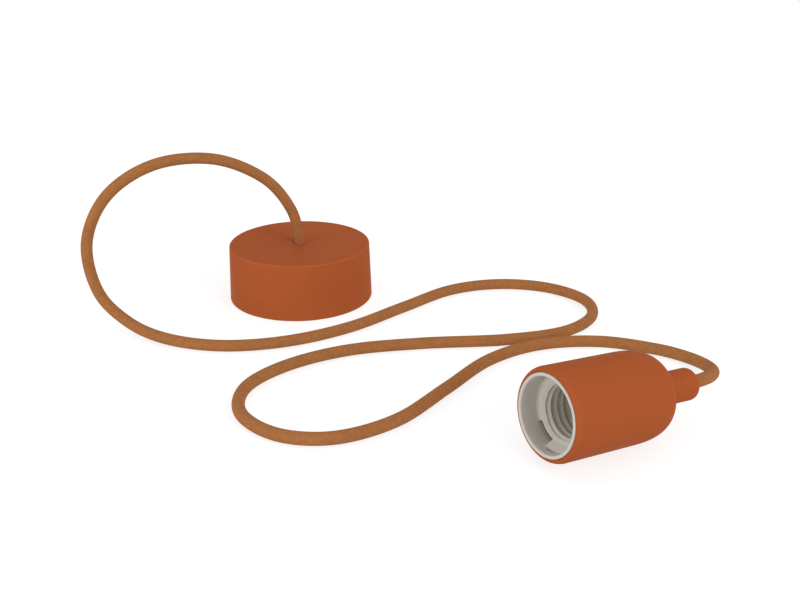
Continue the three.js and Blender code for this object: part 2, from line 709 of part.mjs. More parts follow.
const neckBore = NECK_RADIUS - NECK_WALL;
const sleeveBore = MOUTH_RADIUS + SEAT_GAP;
const sleeveRadius = sleeveBore + SLEEVE_WALL;
const boreRadius = MOUTH_RADIUS - MOUTH_WALL;
const spigotRadius = boreRadius - SEAT_GAP;
const spigotEnd = SPIGOT_START + SPIGOT_LENGTH;
const insertFront = spigotEnd + SEAT_GAP;
const insertBack = insertFront + INSERT_THICKNESS;
const domeSeat = insertBack + SEAT_GAP;
const socketOuter = THREAD_CREST_RADIUS + THREAD_DEPTH + SOCKET_WALL;

// The sleeve's rounded front, from its lip out to its full width, as [radius, distance] points
function sleeveFront(points = 6) {
  const lip = sleeveBore + SLEEVE_LIP_WIDTH;
  const width = SLEEVE_FRONT_WALL - SLEEVE_LIP_WIDTH;
  return Array.from({ length: points }, (_, i) => {
    const turn = (Math.PI / 2) * (i / (points - 1));
    const across = width * Math.sin(turn);
    return [lip + across, SLEEVE_START + SLEEVE_FRONT_LENGTH * (1 - Math.cos(turn))];
  });
}

function holderSleeve() {
  const neckStop = HUB_END + SEAT_GAP;
  const neckTip = [NECK_RADIUS - NECK_END_ROUND, NECK_END - NECK_END_ROUND];
  const rootRadius = NECK_RADIUS + NECK_ROOT_ROUND;
  const root = [rootRadius, SHOULDER_END + NECK_ROOT_ROUND];
  const outside = shoulder(sleeveRadius, rootRadius, SHOULDER_START, SHOULDER_END, SHOULDER_POINTS);
  const inside = shoulder(sleeveBore, neckBore, SHOULDER_START, SHOULDER_END - SHOULDER_WALL);
  return turned([
    [sleeveBore, SLEEVE_START],
    ...sleeveFront(),
    ...outside,
    ...quarterRound(root, NECK_ROOT_ROUND, -Math.PI / 2, -Math.PI, 3).slice(1),
    ...quarterRound(neckTip, NECK_END_ROUND, 0, Math.PI / 2, 4),
    [CORD_HOLE_RADIUS, NECK_END],
    [CORD_HOLE_RADIUS, neckStop],
    [neckBore, neckStop],
    ...inside.reverse(),
  ]);
}

// The solid that leaves the Edison thread when it is cut out: its radius turns with the height
function threadTool(low, high) {
  const rings = Math.round(((high - low) / THREAD_PITCH) * THREAD_RINGS_PER_PITCH);
  const positions = [];
  const triangles = [];
  for (let ring = 0; ring <= rings; ring += 1) {
    const height = THREE.MathUtils.lerp(low, high, ring / rings);
    for (let side = 0; side < THREAD_TURN_SIDES; side += 1) {
      const turn = (2 * Math.PI * side) / THREAD_TURN_SIDES;
      const wave = Math.cos((2 * Math.PI * height) / THREAD_PITCH - turn);
      const radius = THREAD_CREST_RADIUS + (THREAD_DEPTH * (1 + wave)) / 2;
      positions.push(radius * Math.cos(turn), radius * Math.sin(turn), height);
    }
  }
  const bottomCentre = positions.length / 3;
  positions.push(0, 0, low, 0, 0, high);
  const lastRing = rings * THREAD_TURN_SIDES;
  for (let side = 0; side < THREAD_TURN_SIDES; side += 1) {
    const next = (side + 1) % THREAD_TURN_SIDES;
    triangles.push(bottomCentre, next, side, bottomCentre + 1, lastRing + side, lastRing + next);
    for (let ring = 0; ring < rings; ring += 1) {
      const [a, b] = [ring * THREAD_TURN_SIDES + side, ring * THREAD_TURN_SIDES + next];
      const [c, d] = [a + THREAD_TURN_SIDES, b + THREAD_TURN_SIDES];
      triangles.push(a, b, d, a, d, c);
    }
  }
  const geometry = new THREE.BufferGeometry();
  geometry.setAttribute('position', new THREE.Float32BufferAttribute(positions, 3));
  geometry.setIndex(triangles);
  return solid(geometry);
}

// A stretch of ring between two radii and two heights, round a middle direction
function ringStretch([inner, outer], [low, high], turn, angle) {
  const shape = new THREE.Shape();
  shape.absarc(0, 0, outer, turn - angle / 2, turn + angle / 2, false);
  shape.absarc(0, 0, inner, turn + angle / 2, turn - angle / 2, true);
  const depth = high - low;
  const geometry = new THREE.ExtrudeGeometry(shape, { depth, bevelEnabled: false, curveSegments: 6 });
  return solid(geometry.translate(0, 0, low));
}

// One notch through the ledge, out to the wall of the mouth
function ledgeNotch(turn) {
  return ringStretch(
    [LEDGE_NOTCH_INNER, boreRadius + LEDGE_NOTCH_RELIEF],
    [LEDGE_DEPTH - LEDGE_NOTCH_RELIEF, LEDGE_DEPTH + LEDGE_THICKNESS + CUT_THROUGH],
    turn,
    LEDGE_NOTCH_ANGLE,
  );
}

// The ramp that rises from the wall of the mouth to the ledge, behind the latch slot
function latchRamp() {
  const inWall = boreRadius + MOUTH_WALL / 2;
  const rampEnd = LEDGE_DEPTH + LEDGE_THICKNESS / 2;
  const landRadius = SOCKET_ENTRY_RADIUS + LATCH_RAMP_LAND;
  const wedge = turned([
    [boreRadius, LATCH_RAMP_START],
    [inWall, LATCH_RAMP_START],
    [inWall, rampEnd],
    [landRadius, rampEnd],
    [landRadius, LEDGE_DEPTH],
  ]);
  const reach = [SOCKET_ENTRY_RADIUS, MOUTH_RADIUS];
  const heights = [LATCH_RAMP_START - CUT_THROUGH, rampEnd + CUT_THROUGH];
  return wedge.intersect(ringStretch(reach, heights, LATCH_RAMP_TURN, LATCH_RAMP_ANGLE));
}

// The slot in front of the ramp
function latchSlot() {
  const slot = new THREE.BoxGeometry(LATCH_SLOT_DEPTH * 2, LATCH_SLOT_WIDTH, LATCH_SLOT_HEIGHT);
  slot.translate(boreRadius, 0, LATCH_RAMP_START - LATCH_SLOT_HEIGHT / 2);
  return solid(slot.rotateZ(LATCH_SLOT_TURN));
}

function holderSkirt() {
  const ledgeBack = LEDGE_DEPTH + LEDGE_THICKNESS;
  const wallInner = MOUTH_RADIUS - MOUTH_WALL - SEAT_GAP;
  const spigotInner = spigotRadius - SPIGOT_WALL;
  const rim = [MOUTH_RADIUS - MOUTH_EDGE_ROUND, MOUTH_EDGE_ROUND];
  const bore = [boreRadius + MOUTH_EDGE_ROUND, MOUTH_EDGE_ROUND];
  const body = turned([
    ...quarterRound(bore, MOUTH_EDGE_ROUND, Math.PI, 1.5 * Math.PI, 3),
    ...quarterRound(rim, MOUTH_EDGE_ROUND, -Math.PI / 2, 0, 3),
    [MOUTH_RADIUS, SPIGOT_START],
    [spigotRadius, SPIGOT_START],
    [spigotRadius, spigotEnd],
    [spigotInner, spigotEnd],
    [spigotInner, SPIGOT_START],
    [wallInner, SPIGOT_START - SPIGOT_WALL],
    [wallInner, ledgeBack],
    [socketOuter, ledgeBack],
    [socketOuter, SOCKET_END],
    [THREAD_CREST_RADIUS - CUT_THROUGH, SOCKET_END],
    [THREAD_CREST_RADIUS - CUT_THROUGH, ledgeBack],
    [SOCKET_ENTRY_RADIUS, LEDGE_DEPTH],
    [boreRadius, LEDGE_DEPTH],
  ]);
  const thread = threadTool(LEDGE_DEPTH + THREAD_LEAD_IN, SOCKET_END + CUT_THROUGH);
  const notches = Array.from({ length: LEDGE_NOTCH_COUNT }, (_, i) => (
    ledgeNotch(LEDGE_NOTCH_TURN + (2 * Math.PI * i) / LEDGE_NOTCH_COUNT)
  ));
  const contactSlot = block(
    [socketOuter, SIDE_SLOT_WIDTH, SIDE_SLOT_LENGTH * 2],
    [SIDE_SLOT_SHIFT - socketOuter, 0, SOCKET_END],
  );
  return cut(join(body, latchRamp()), thread, ...notches, latchSlot(), contactSlot);
}

function holderDome() {
  const low = SPIGOT_START + SEAT_GAP;
  const inside = shoulder(
    boreRadius - DOME_SEAT_WIDTH, CORD_HOLE_RADIUS, SHOULDER_START,
    SHOULDER_END - SHOULDER_WALL - SEAT_GAP - DOME_WALL,
  );
  const shell = turned([
    [boreRadius, low],
    [MOUTH_RADIUS, low],
    ...shoulder(MOUTH_RADIUS, HUB_RADIUS, SHOULDER_START, SHOULDER_END - SHOULDER_WALL - SEAT_GAP),
    [HUB_RADIUS, HUB_END - HUB_CHAMFER],
    [HUB_RADIUS - HUB_CHAMFER, HUB_END],
    [CORD_HOLE_RADIUS, HUB_END],
    ...inside.reverse(),
    [boreRadius - DOME_SEAT_WIDTH, domeSeat],
    [boreRadius, domeSeat],
  ]);
  const screwHole = sideRod(
    HUB_SCREW_RADIUS + SEAT_GAP, CORD_HOLE_RADIUS - HOLE_BREAK_IN, HUB_RADIUS + CUT_THROUGH,
    [0, HUB_SCREW_PLACE], FINE_SIDES,
  );
  return cut(shell, screwHole);
}

function hubScrew() {
  const outer = HUB_RADIUS - HUB_SCREW_SUNK;
  const [slotDepth, slotWidth] = HUB_SCREW_SLOT;
  const shank = sideRod(HUB_SCREW_RADIUS, CORD_HOLE_RADIUS, outer, [0, HUB_SCREW_PLACE], FINE_SIDES);
  const slot = block([slotDepth, 2 * HUB_SCREW_RADIUS + CUT_THROUGH, slotWidth], [outer, 0, HUB_SCREW_PLACE]);
  return cut(shank, slot);
}

// Contacts

const pillarTop = insertFront - PILLAR_HEIGHT;
const terminalFront = insertBack + SEAT_GAP;
const terminalBack = terminalFront + TERMINAL_SIZE[2];
const centreTerminalX = CENTRE_TAIL_PLACE + STRIP_THICKNESS / 2 + SEAT_GAP + TERMINAL_SIZE[0] / 2;
const sideTerminalX = -(SIDE_TAIL_PLACE - STRIP_THICKNESS / 2 - SEAT_GAP - TERMINAL_SIZE[0] / 2);

function contactInsert() {
  const disc = rod(boreRadius - SEAT_GAP, insertFront, insertBack, [0, 0], ROUND_SIDES);
  const pillar = block(
    [PILLAR_LENGTH, PILLAR_WIDTH, PILLAR_HEIGHT + JOIN_DEPTH],
    [0, 0, pillarTop + (PILLAR_HEIGHT + JOIN_DEPTH) / 2],
  );
  const barrier = block(
    [BARRIER_THICKNESS, BARRIER_LENGTH, BARRIER_HEIGHT + JOIN_DEPTH],
    [0, 0, insertBack + (BARRIER_HEIGHT - JOIN_DEPTH) / 2],
  );
  const slots = [CENTRE_TAIL_PLACE, -SIDE_TAIL_PLACE].map((x) => block(
    [STRIP_THICKNESS + 2 * SEAT_GAP, STRIP_WIDTH + 2 * SEAT_GAP, INSERT_THICKNESS + 2 * CUT_THROUGH],
    [x, 0, (insertFront + insertBack) / 2],
  ));
  return cut(join(disc, pillar, barrier), ...slots);
}

function centreContact() {
  const flat = pillarTop - SEAT_GAP - STRIP_THICKNESS / 2;
  const tip = flat - CENTRE_TIP_RISE;
  const [curlRun, curlDrop] = CENTRE_CURL;
  return stripOf(sheetOutline([
    [CENTRE_TIP_PLACE - curlRun, tip + curlDrop],
    [CENTRE_TIP_PLACE, tip],
    [CENTRE_TIP_PLACE + CENTRE_TIP_LENGTH, tip + CENTRE_TIP_SLOPE],
    [CENTRE_KNEE_PLACE, flat],
    [CENTRE_TAIL_PLACE, flat],
    [CENTRE_TAIL_PLACE, terminalBack - TAIL_SHORT_OF_TERMINAL],
  ], STRIP_THICKNESS), STRIP_WIDTH);
}

function sideContact() {
  const tip = insertFront - SIDE_TIP_REACH;
  const [crestIn, crestHeight] = SIDE_CREST;
  return stripOf(sheetOutline([
    [-SIDE_TAIL_PLACE - SIDE_BOW, tip],
    [-SIDE_TAIL_PLACE + crestIn, tip + crestHeight],
    [-SIDE_TAIL_PLACE, tip + SIDE_KNEE],
    [-SIDE_TAIL_PLACE, terminalBack - TAIL_SHORT_OF_TERMINAL],
  ], STRIP_THICKNESS), STRIP_WIDTH);
}

function terminal(x) {
  const [width, depth, height] = TERMINAL_SIZE;
  const body = block([width, depth, height], [x, 0, terminalFront + height / 2]);
  const bore = rod(
    CORE_RADIUS + SEAT_GAP, terminalBack - TERMINAL_BORE_DEPTH, terminalBack + CUT_THROUGH,
    [x, 0], FINE_SIDES,
  );
  const hole = crossRod(
    TERMINAL_SCREW_RADIUS + SEAT_GAP, 0, depth, [x, terminalFront + TERMINAL_SCREW_PLACE], FINE_SIDES,
  );
  return cut(body, bore, hole);
}

function terminalScrew(x) {
  const seat = TERMINAL_SIZE[1] / 2 + SEAT_GAP;
  const height = terminalFront + TERMINAL_SCREW_PLACE;
  const top = seat + TERMINAL_SCREW_HEAD_HEIGHT;
  const shank = crossRod(
    TERMINAL_SCREW_RADIUS, CORE_RADIUS + SEAT_GAP, seat + TERMINAL_SCREW_HEAD_HEIGHT / 2,
    [x, height], FINE_SIDES,
  );
  const head = crossRod(TERMINAL_SCREW_HEAD_RADIUS, seat, top, [x, height]);
  const across = 2 * TERMINAL_SCREW_HEAD_RADIUS + CUT_THROUGH;
  const slot = block([across, ...TERMINAL_SCREW_SLOT], [x, top, height]);
  return cut(join(shank, head), slot);
}

function holderCore(x) {
  const side = Math.sign(x);
  const sheathEnd = (CORD_ROUTE.at(-1)[0] - MOUTH_CENTRE[0]) / Math.cos(HOLDER_TILT);
  const entry = terminalBack - TERMINAL_BORE_DEPTH + SEAT_GAP;
  return tubeAlong([
    [side * CORE_SPREAD, 0, sheathEnd - HOLDER_CORE_ROOM],
    [side * (CORE_SPREAD + CORE_WIDE_SPREAD) / 2, 0, sheathEnd - CORE_BEND_RUN],
    [side * HOLDER_CORE_BELLY, 0, (sheathEnd + terminalBack) / 2],
    [x, 0, terminalBack + HOLDER_CORE_STRAIGHT],
    [x, 0, entry],
  ], CORE_RADIUS, CORE_SIDES, CORE_STEPS);
}

// The cord set

function buildRose() {
  const rose = new THREE.Group();
  rose.add(
    piece('rose_cover', roseCover(), SILICONE),
    piece('rose_base_plate', rosePlate(), WHITE_NYLON),
    piece('hanger_strap', hangerStrap(), ZINC_STEEL),
    piece('strap_screw_1', strapScrew(-1), ZINC_STEEL),
    piece('strap_screw_2', strapScrew(1), ZINC_STEEL),
    piece('grip_nipple', gripNipple(), CLEAR_POLYAMIDE),
    piece('grip_nut', gripNut(), ZINC_STEEL),
    piece('grip_screw', gripScrew(), CLEAR_POLYAMIDE),
    piece('terminal_block', terminalBlock(), CLEAR_POLYAMIDE),
    piece('block_tube_live', blockTube(poles[0]), BRASS),
    piece('block_tube_neutral', blockTube(poles[1]), BRASS),
    piece('block_screw', blockScrew(), ZINC_STEEL),
    piece('rose_core_brown', roseCore(-1), BROWN_CORE),
    piece('rose_core_blue', roseCore(1), BLUE_CORE),
  );
  const places = poles.flatMap((x) => clampPlaces.map((y) => [x, y]));
  places.forEach(([x, y], i) => {
    rose.add(piece(`block_clamp_screw_${i + 1}`, blockClampScrew(x, y), ZINC_STEEL));
  });
  return rose;
}

function buildHolder() {
  const holder = new THREE.Group();
  holder.add(
    piece('holder_sleeve', holderSleeve(), SILICONE),
    piece('holder_skirt', holderSkirt(), LINER_PLASTIC),
    piece('holder_dome', holderDome(), LINER_PLASTIC),
    piece('hub_screw', hubScrew(), ZINC_STEEL),
    piece('contact_insert', contactInsert(), LINER_PLASTIC),
    piece('centre_contact', centreContact(), BRASS),
    piece('side_contact', sideContact(), BRASS),
    piece('centre_terminal', terminal(centreTerminalX), BRASS),
    piece('side_terminal', terminal(sideTerminalX), BRASS),
    piece('centre_screw', terminalScrew(centreTerminalX), ZINC_STEEL),
    piece('side_screw', terminalScrew(sideTerminalX), ZINC_STEEL),
    piece('holder_core_brown', holderCore(centreTerminalX), BROWN_CORE),
    piece('holder_core_blue', holderCore(sideTerminalX), BLUE_CORE),
  );
  holder.position.set(...MOUTH_CENTRE);
  holder.rotation.y = Math.PI / 2 + HOLDER_TILT;
  return holder;
}

const cordSet = new THREE.Group();
cordSet.add(
  buildRose(),
  buildHolder(),
  piece('cord', tubeAlong(CORD_ROUTE, CORD_RADIUS, CORD_SIDES, CORD_STEPS), BRAID),
);

export default cordSet;
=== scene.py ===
"""The looks of a pendant cord set: a silicone ceiling rose, a braided cord and an E27 lamp holder."""

import json
import math

import bmesh
import bpy
from bpy.props import FloatProperty, FloatVectorProperty, IntProperty, PointerProperty
from mathutils import Matrix, Vector
from mathutils.geometry import interpolate_bezier

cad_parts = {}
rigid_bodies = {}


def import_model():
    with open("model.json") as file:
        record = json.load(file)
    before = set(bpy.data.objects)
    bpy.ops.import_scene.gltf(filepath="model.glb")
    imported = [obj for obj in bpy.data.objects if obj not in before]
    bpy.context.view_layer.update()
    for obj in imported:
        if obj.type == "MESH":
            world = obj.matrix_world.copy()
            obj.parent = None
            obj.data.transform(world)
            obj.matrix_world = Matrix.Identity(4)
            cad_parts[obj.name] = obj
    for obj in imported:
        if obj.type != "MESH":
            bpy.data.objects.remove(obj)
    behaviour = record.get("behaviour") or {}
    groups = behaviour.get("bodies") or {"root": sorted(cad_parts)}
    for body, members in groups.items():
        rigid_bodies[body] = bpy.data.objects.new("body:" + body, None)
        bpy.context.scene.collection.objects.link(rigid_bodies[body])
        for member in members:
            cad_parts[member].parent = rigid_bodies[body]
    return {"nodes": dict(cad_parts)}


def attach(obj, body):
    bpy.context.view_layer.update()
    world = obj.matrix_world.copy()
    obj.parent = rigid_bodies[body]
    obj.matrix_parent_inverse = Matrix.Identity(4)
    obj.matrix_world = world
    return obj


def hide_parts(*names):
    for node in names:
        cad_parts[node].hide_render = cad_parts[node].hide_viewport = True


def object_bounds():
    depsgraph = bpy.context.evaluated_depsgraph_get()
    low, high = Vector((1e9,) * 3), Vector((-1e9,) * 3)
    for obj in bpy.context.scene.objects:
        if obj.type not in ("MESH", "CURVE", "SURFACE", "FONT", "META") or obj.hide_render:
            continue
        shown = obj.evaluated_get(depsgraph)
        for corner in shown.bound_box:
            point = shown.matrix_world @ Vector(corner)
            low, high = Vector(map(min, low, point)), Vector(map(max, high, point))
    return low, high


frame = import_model()
cad_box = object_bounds()

bl_info = {
    "name": "Pendant Cord Set",
    "version": (1, 0, 0),
    "blender": (4, 5, 0),
    "location": "3D View > Sidebar > Cord Set",
    "description": "Dresses a silicone ceiling rose, its braided cord and its lamp holder",
    "category": "Add Mesh",
}

MM = 0.001
BODY = "root"
ROUND_SIDES = 160
FIT = 0.3 * MM

# The way of the cord in metres, the same points as in the part's source
LAID = 0.0034
CORD_ROUTE = [
    (0, 0, 0.018),
    (-0.0002, 0, 0.0375),
    (-0.005, 0.0006, 0.058),
    (-0.021, 0.0025, 0.079),
    (-0.0505, 0.0055, 0.094),
    (-0.085, 0.0097, 0.0945),
    (-0.1135, 0.0117, 0.08),
    (-0.1275, 0.0142, 0.0535),
    (-0.1255, 0.0107, 0.024),
    (-0.114, -0.0043, 0.0075),
    (-0.1, -0.0318, 0.004),
    (-0.0755, -0.0558, LAID),
    (-0.0415, -0.0688, LAID),
    (-0.002, -0.0698, LAID),
    (0.0405, -0.0603, LAID),
    (0.081, -0.0518, LAID),
    (0.1135, -0.0593, LAID),
    (0.1365, -0.0803, LAID),
    (0.1435, -0.1083, LAID),
    (0.13, -0.1308, LAID),
    (0.1015, -0.1398, LAID),
    (0.0655, -0.1313, LAID),
    (0.022, -0.1108, LAID),
    (-0.0175, -0.0973, LAID),
    (-0.0545, -0.0968, LAID),
    (-0.084, -0.1088, LAID),
    (-0.0975, -0.1333, LAID),
    (-0.091, -0.1613, LAID),
    (-0.0685, -0.1783, LAID),
    (-0.035, -0.1788, LAID),
    (0.003, -0.1638, LAID),
    (0.042, -0.1478, LAID),
    (0.0775, -0.1463, LAID),
    (0.109, -0.1603, LAID),
    (0.1295, -0.1843, LAID),
    (0.1365, -0.2038, LAID + 0.0005),
    (0.1315, -0.2223, 0.007),
    (0.111, -0.2398, 0.0155),
    (0.0919, -0.244, 0.0183),
    (0.0675, -0.244, 0.0204),
]
ROUTE_DETAIL = 24
CAPTURED_TURN = "braid_turn"
CAPTURED_ALONG = "braid_along"
# Attribute that carries the painted highlight on the rose's top edge
HIGHLIGHT_MARK = "painted_highlight"


# Settings that a user would change


def length(name, description, default):
    return FloatProperty(
        name=name,
        description=description,
        default=default,
        min=0,
        precision=5,
        subtype="DISTANCE",
        unit="LENGTH",
    )


def angle(name, description, degrees):
    return FloatProperty(
        name=name,
        description=description,
        default=math.radians(degrees),
        subtype="ANGLE",
        unit="ROTATION",
    )


def colour(name, description, default):
    return FloatVectorProperty(
        name=name,
        description=description,
        default=default,
        size=3,
        min=0,
        max=1,
        subtype="COLOR_GAMMA",
    )


def share(name, description, default):
    return FloatProperty(
        name=name, description=description, default=default, min=0, max=1, subtype="FACTOR"
    )


class CORDSET_PG_finish(bpy.types.PropertyGroup):
    """Colours of the materials, as they look on a screen."""

    silicone: colour("Silicone", "Rose cover and holder sleeve", (0.662, 0.338, 0.183))
    braid: colour("Braid", "Textile braid of the cord", (0.636, 0.412, 0.236))
    liner: colour("Liner", "Moulded lamp holder liner", (0.786, 0.766, 0.728))
    nylon: colour("Nylon", "Moulded plate in the rose", (0.885, 0.870, 0.835))
    polyamide: colour("Polyamide", "Cord grip and terminal block", (0.850, 0.835, 0.790))
    steel: colour("Steel", "Zinc-plated strap, nut and screws", (0.740, 0.750, 0.765))
    brass: colour("Brass", "Tubes, contacts and terminals", (0.830, 0.690, 0.390))
    brown_core: colour("Brown Core", "Insulation of the live core", (0.420, 0.255, 0.145))
    blue_core: colour("Blue Core", "Insulation of the neutral core", (0.190, 0.380, 0.620))


class CORDSET_PG_cord(bpy.types.PropertyGroup):
    """Sizes of the cord and of its braid."""

    diameter: length("Diameter", "Outside diameter over the braid", 6.6 * MM)
    carriers: IntProperty(
        name="Carriers", description="Strands each way round, an even number", default=16, min=4
    )
    cell: length("Cell", "Length of one crossing along the cord", 1.3 * MM)
    relief: length("Relief", "How far the crossings stand proud", 0.07 * MM)


class CORDSET_PG_rose(bpy.types.PropertyGroup):
    """Sizes of the silicone cover."""

    base_radius: length("Base Radius", "Outside, at the ceiling", 45.2 * MM)
    top_radius: length("Top Radius", "Outside, at the top", 44 * MM)
    height: length("Height", "From the ceiling to the top", 35 * MM)
    wall: length("Wall", "Thickness of the side", 2.4 * MM)
    top: length("Top Thickness", "Thickness of the end", 3 * MM)
    edge_round: length("Edge Round", "Round of the top edge", 1.1 * MM)
    foot_round: length("Foot Round", "Round of the edge at the ceiling", 0.5 * MM)
    cord_hole: length("Cord Hole", "Radius of the hole for the cord", 3.6 * MM)


class CORDSET_PG_holder(bpy.types.PropertyGroup):
    """Where the lamp holder lies, and the sizes of its sleeve and liner."""

    mouth: FloatVectorProperty(
        name="Mouth",
        description="Middle of the lamp mouth",
        default=(1.7 * MM, -244 * MM, 26.03 * MM),
        size=3,
        precision=5,
        subtype="XYZ_LENGTH",
        unit="LENGTH",
    )
    tilt: angle("Tilt", "How far the neck points down", 4.9)
    sleeve_start: length("Sleeve Start", "Where the sleeve starts behind the mouth", 0.5 * MM)
    lip_width: length("Lip Width", "Flat edge of the sleeve round the liner", 0.4 * MM)
    front_length: length("Front Length", "How far back the rounded front runs", 3.5 * MM)
    mouth_radius: length("Sleeve Mouth Radius", "Outside of the sleeve behind its front", 22.05 * MM)
    radius: length("Sleeve Radius", "Outside of the sleeve at its shoulder", 22 * MM)
    shoulder_start: length("Shoulder Start", "Where the shoulder begins", 42.3 * MM)
    shoulder_end: length("Shoulder End", "Where the shoulder meets the neck", 65 * MM)
    neck_radius: length("Neck Radius", "Outside of the neck", 8.05 * MM)
    neck_end: length("Neck End", "Where the neck ends", 90.2 * MM)
    liner_radius: length("Liner Radius", "Outside of the liner", 19.43 * MM)
    liner_wall: length("Liner Wall", "Thickness of the liner at its mouth", 1.7 * MM)
    ledge_depth: length("Ledge Depth", "From the mouth to the ledge", 9.5 * MM)
    thread_pitch: length("Thread Pitch", "Rise of the lamp thread in one turn", 3.629 * MM)


class CORDSET_PG_stage(bpy.types.PropertyGroup):
    """Camera, lamps and floor."""

    eye: FloatVectorProperty(
        name="Eye",
        description="Where the camera stands",
        default=(-0.2501, -0.5377, 0.2390),
        size=3,
        precision=4,
        subtype="XYZ_LENGTH",
        unit="LENGTH",
    )
    turn: angle("Turn", "Way the camera looks, from +Y towards +X", 31.09)
    pitch: angle("Pitch", "How far the camera looks down", 22.45)
    lens: FloatProperty(name="Lens", description="Focal length in mm", default=44.33, min=1)
    surround: FloatProperty(
        name="Surround", description="Strength of the even light all round", default=0.69, min=0
    )
    key: FloatProperty(
        name="Key", description="Power of the large lamp at the left", default=9, unit="POWER"
    )
    fill: FloatProperty(
        name="Fill", description="Power of the large lamp in front", default=20.5, unit="POWER"
    )
    shadow: share("Shadow", "How much of its shadow the floor shows", 0.35)
    glow: FloatProperty(
        name="Glow", description="Brightness of the floor apart from the shadow", default=1.16, min=0
    )


# Meshes


def mesh_object(name, vertices, faces, place=None):
    """A new object at the origin, with its place in its mesh."""
    mesh = bpy.data.meshes.new(name)
    mesh.from_pydata([tuple(v) for v in vertices], [], faces)
    if place is not None:
        mesh.transform(place)
    result = bpy.data.objects.new(name, mesh)
    bpy.context.scene.collection.objects.link(result)
    return result


def face_outwards(target):
    """Merges doubles and turns all faces of a closed mesh outwards."""
    work = bmesh.new()
    work.from_mesh(target.data)
    bmesh.ops.remove_doubles(work, verts=work.verts, dist=1e-7)
    loose = [edge for edge in work.edges if edge.is_wire]
    bmesh.ops.delete(work, geom=loose, context="EDGES")
    bmesh.ops.recalc_face_normals(work, faces=work.faces)
    if work.calc_volume(signed=True) < 0:
        bmesh.ops.reverse_faces(work, faces=work.faces)
    work.to_mesh(target.data)
    work.free()


def shade(target, crease_degrees=35):
    """Smooth shading that keeps the sharp edges sharp."""
    target.data.shade_smooth()
    target.data.set_sharp_from_angle(angle=math.radians(crease_degrees))


def arc(centre, size, start, end, count=10):
    """Part of a circle in degrees, as (radius, height) points."""
    turns = [math.radians(start + (end - start) * i / (count - 1)) for i in range(count)]
    return [(centre[0] + size * math.cos(t), centre[1] + size * math.sin(t)) for t in turns]


def ring_faces(rings, count):
    """Faces that join each ring of points to the next, and the last ring to the first."""
    faces = []
    for ring in range(rings):
        here, after = ring * count, (ring + 1) % rings * count
        for i in range(count):
            j = (i + 1) % count
            faces.append((here + i, after + i, after + j, here + j))
    return faces


def turned(name, profile, place=None, sides=ROUND_SIDES):
    """A closed profile of (radius, height) points turned about Z, as a closed mesh."""
    vertices = [
        (radius * math.cos(turn), radius * math.sin(turn), height)
        for turn in (2 * math.pi * k / sides for k in range(sides))
        for radius, height in profile
    ]
    result = mesh_object(name, vertices, ring_faces(sides, len(profile)), place)
    face_outwards(result)
    shade(result)
    return result


def combine(target, tools, operation="DIFFERENCE"):
    """Cuts tool objects out of a mesh, or joins them to it, and deletes them."""
    for tool in tools:
        modifier = target.modifiers.new("combine", "BOOLEAN")
        modifier.operation = operation
        modifier.solver = "EXACT"
        modifier.object = tool
    bake_modifiers(target)
    for tool in tools:
        bpy.data.meshes.remove(tool.data)


def bake_modifiers(target):
    """Turns what the modifiers make into the object's own mesh."""
    graph = bpy.context.evaluated_depsgraph_get()
    old = target.data
    target.data = bpy.data.meshes.new_from_object(target.evaluated_get(graph))
    target.modifiers.clear()
    if old.users == 0:
        bpy.data.batch_remove([old])


def circle(radius, centre=(0.0, 0.0), sides=64):
    """A round outline."""
    turns = [2 * math.pi * k / sides for k in range(sides)]
    return [(centre[0] + radius * math.cos(t), centre[1] + radius * math.sin(t)) for t in turns]


def rectangle(width, depth, centre=(0.0, 0.0)):
    """An outline with four corners."""
    x, y = centre
    corners = ((-1, -1), (1, -1), (1, 1), (-1, 1))
    return [(x + side * width / 2, y + end * depth / 2) for side, end in corners]


def prism(outline, low, high, place=None):
    """A closed solid with one outline all along its height."""
    count = len(outline)
    vertices = [(x, y, z) for z in (low, high) for x, y in outline]
    faces = [tuple(reversed(range(count))), tuple(range(count, 2 * count))]
    faces += [(i, (i + 1) % count, count + (i + 1) % count, count + i) for i in range(count)]
    result = mesh_object("prism", vertices, faces, place)
    face_outwards(result)
    return result


def round_edges(target, width, segments=2, from_degrees=35):
    """Rounds the sharp edges of a mesh."""
    bevel = target.modifiers.new("edge_round", "BEVEL")
    bevel.width, bevel.segments = width, segments
    bevel.limit_method, bevel.angle_limit = "ANGLE", math.radians(from_degrees)
    bake_modifiers(target)
    shade(target, 25)


# Node trees


class Tree:
    """Adds nodes to a node tree and joins them."""

    def __init__(self, tree):
        self.tree = tree

    def add(self, kind, inputs=None, **settings):
        """A node with its settings, and each named input set to a value or joined to a socket."""
        node = self.tree.nodes.new(kind)
        for key, value in settings.items():
            setattr(node, key, value)
        for key, value in (inputs or {}).items():
            if isinstance(value, bpy.types.NodeSocket):
                self.tree.links.new(value, node.inputs[key])
            else:
                node.inputs[key].default_value = value
        return node

    def math(self, operation, *values):
        """The result of a Math node on up to three values."""
        inputs = dict(enumerate(values))
        return self.add("ShaderNodeMath", inputs, operation=operation).outputs[0]

    def blend(self, factor, low, high):
        """A colour between two, by a factor."""
        node = self.add("ShaderNodeMix", {0: factor, 6: low, 7: high}, data_type="RGBA")
        return node.outputs[2]

    def spread(self, value, low, high):
        """A value from 0 to 1 mapped to a range."""
        inputs = {"Value": value, "To Min": low, "To Max": high}
        return self.add("ShaderNodeMapRange", inputs).outputs["Result"]

    def end(self, geometry, material):
        """Ends a Geometry Nodes tree with real geometry in one material."""
        real = self.add("GeometryNodeRealizeInstances", {"Geometry": geometry})
        inputs = {"Geometry": real.outputs[0], "Material": material}
        coloured = self.add("GeometryNodeSetMaterial", inputs)
        self.add("NodeGroupOutput", {"Geometry": coloured.outputs[0]})


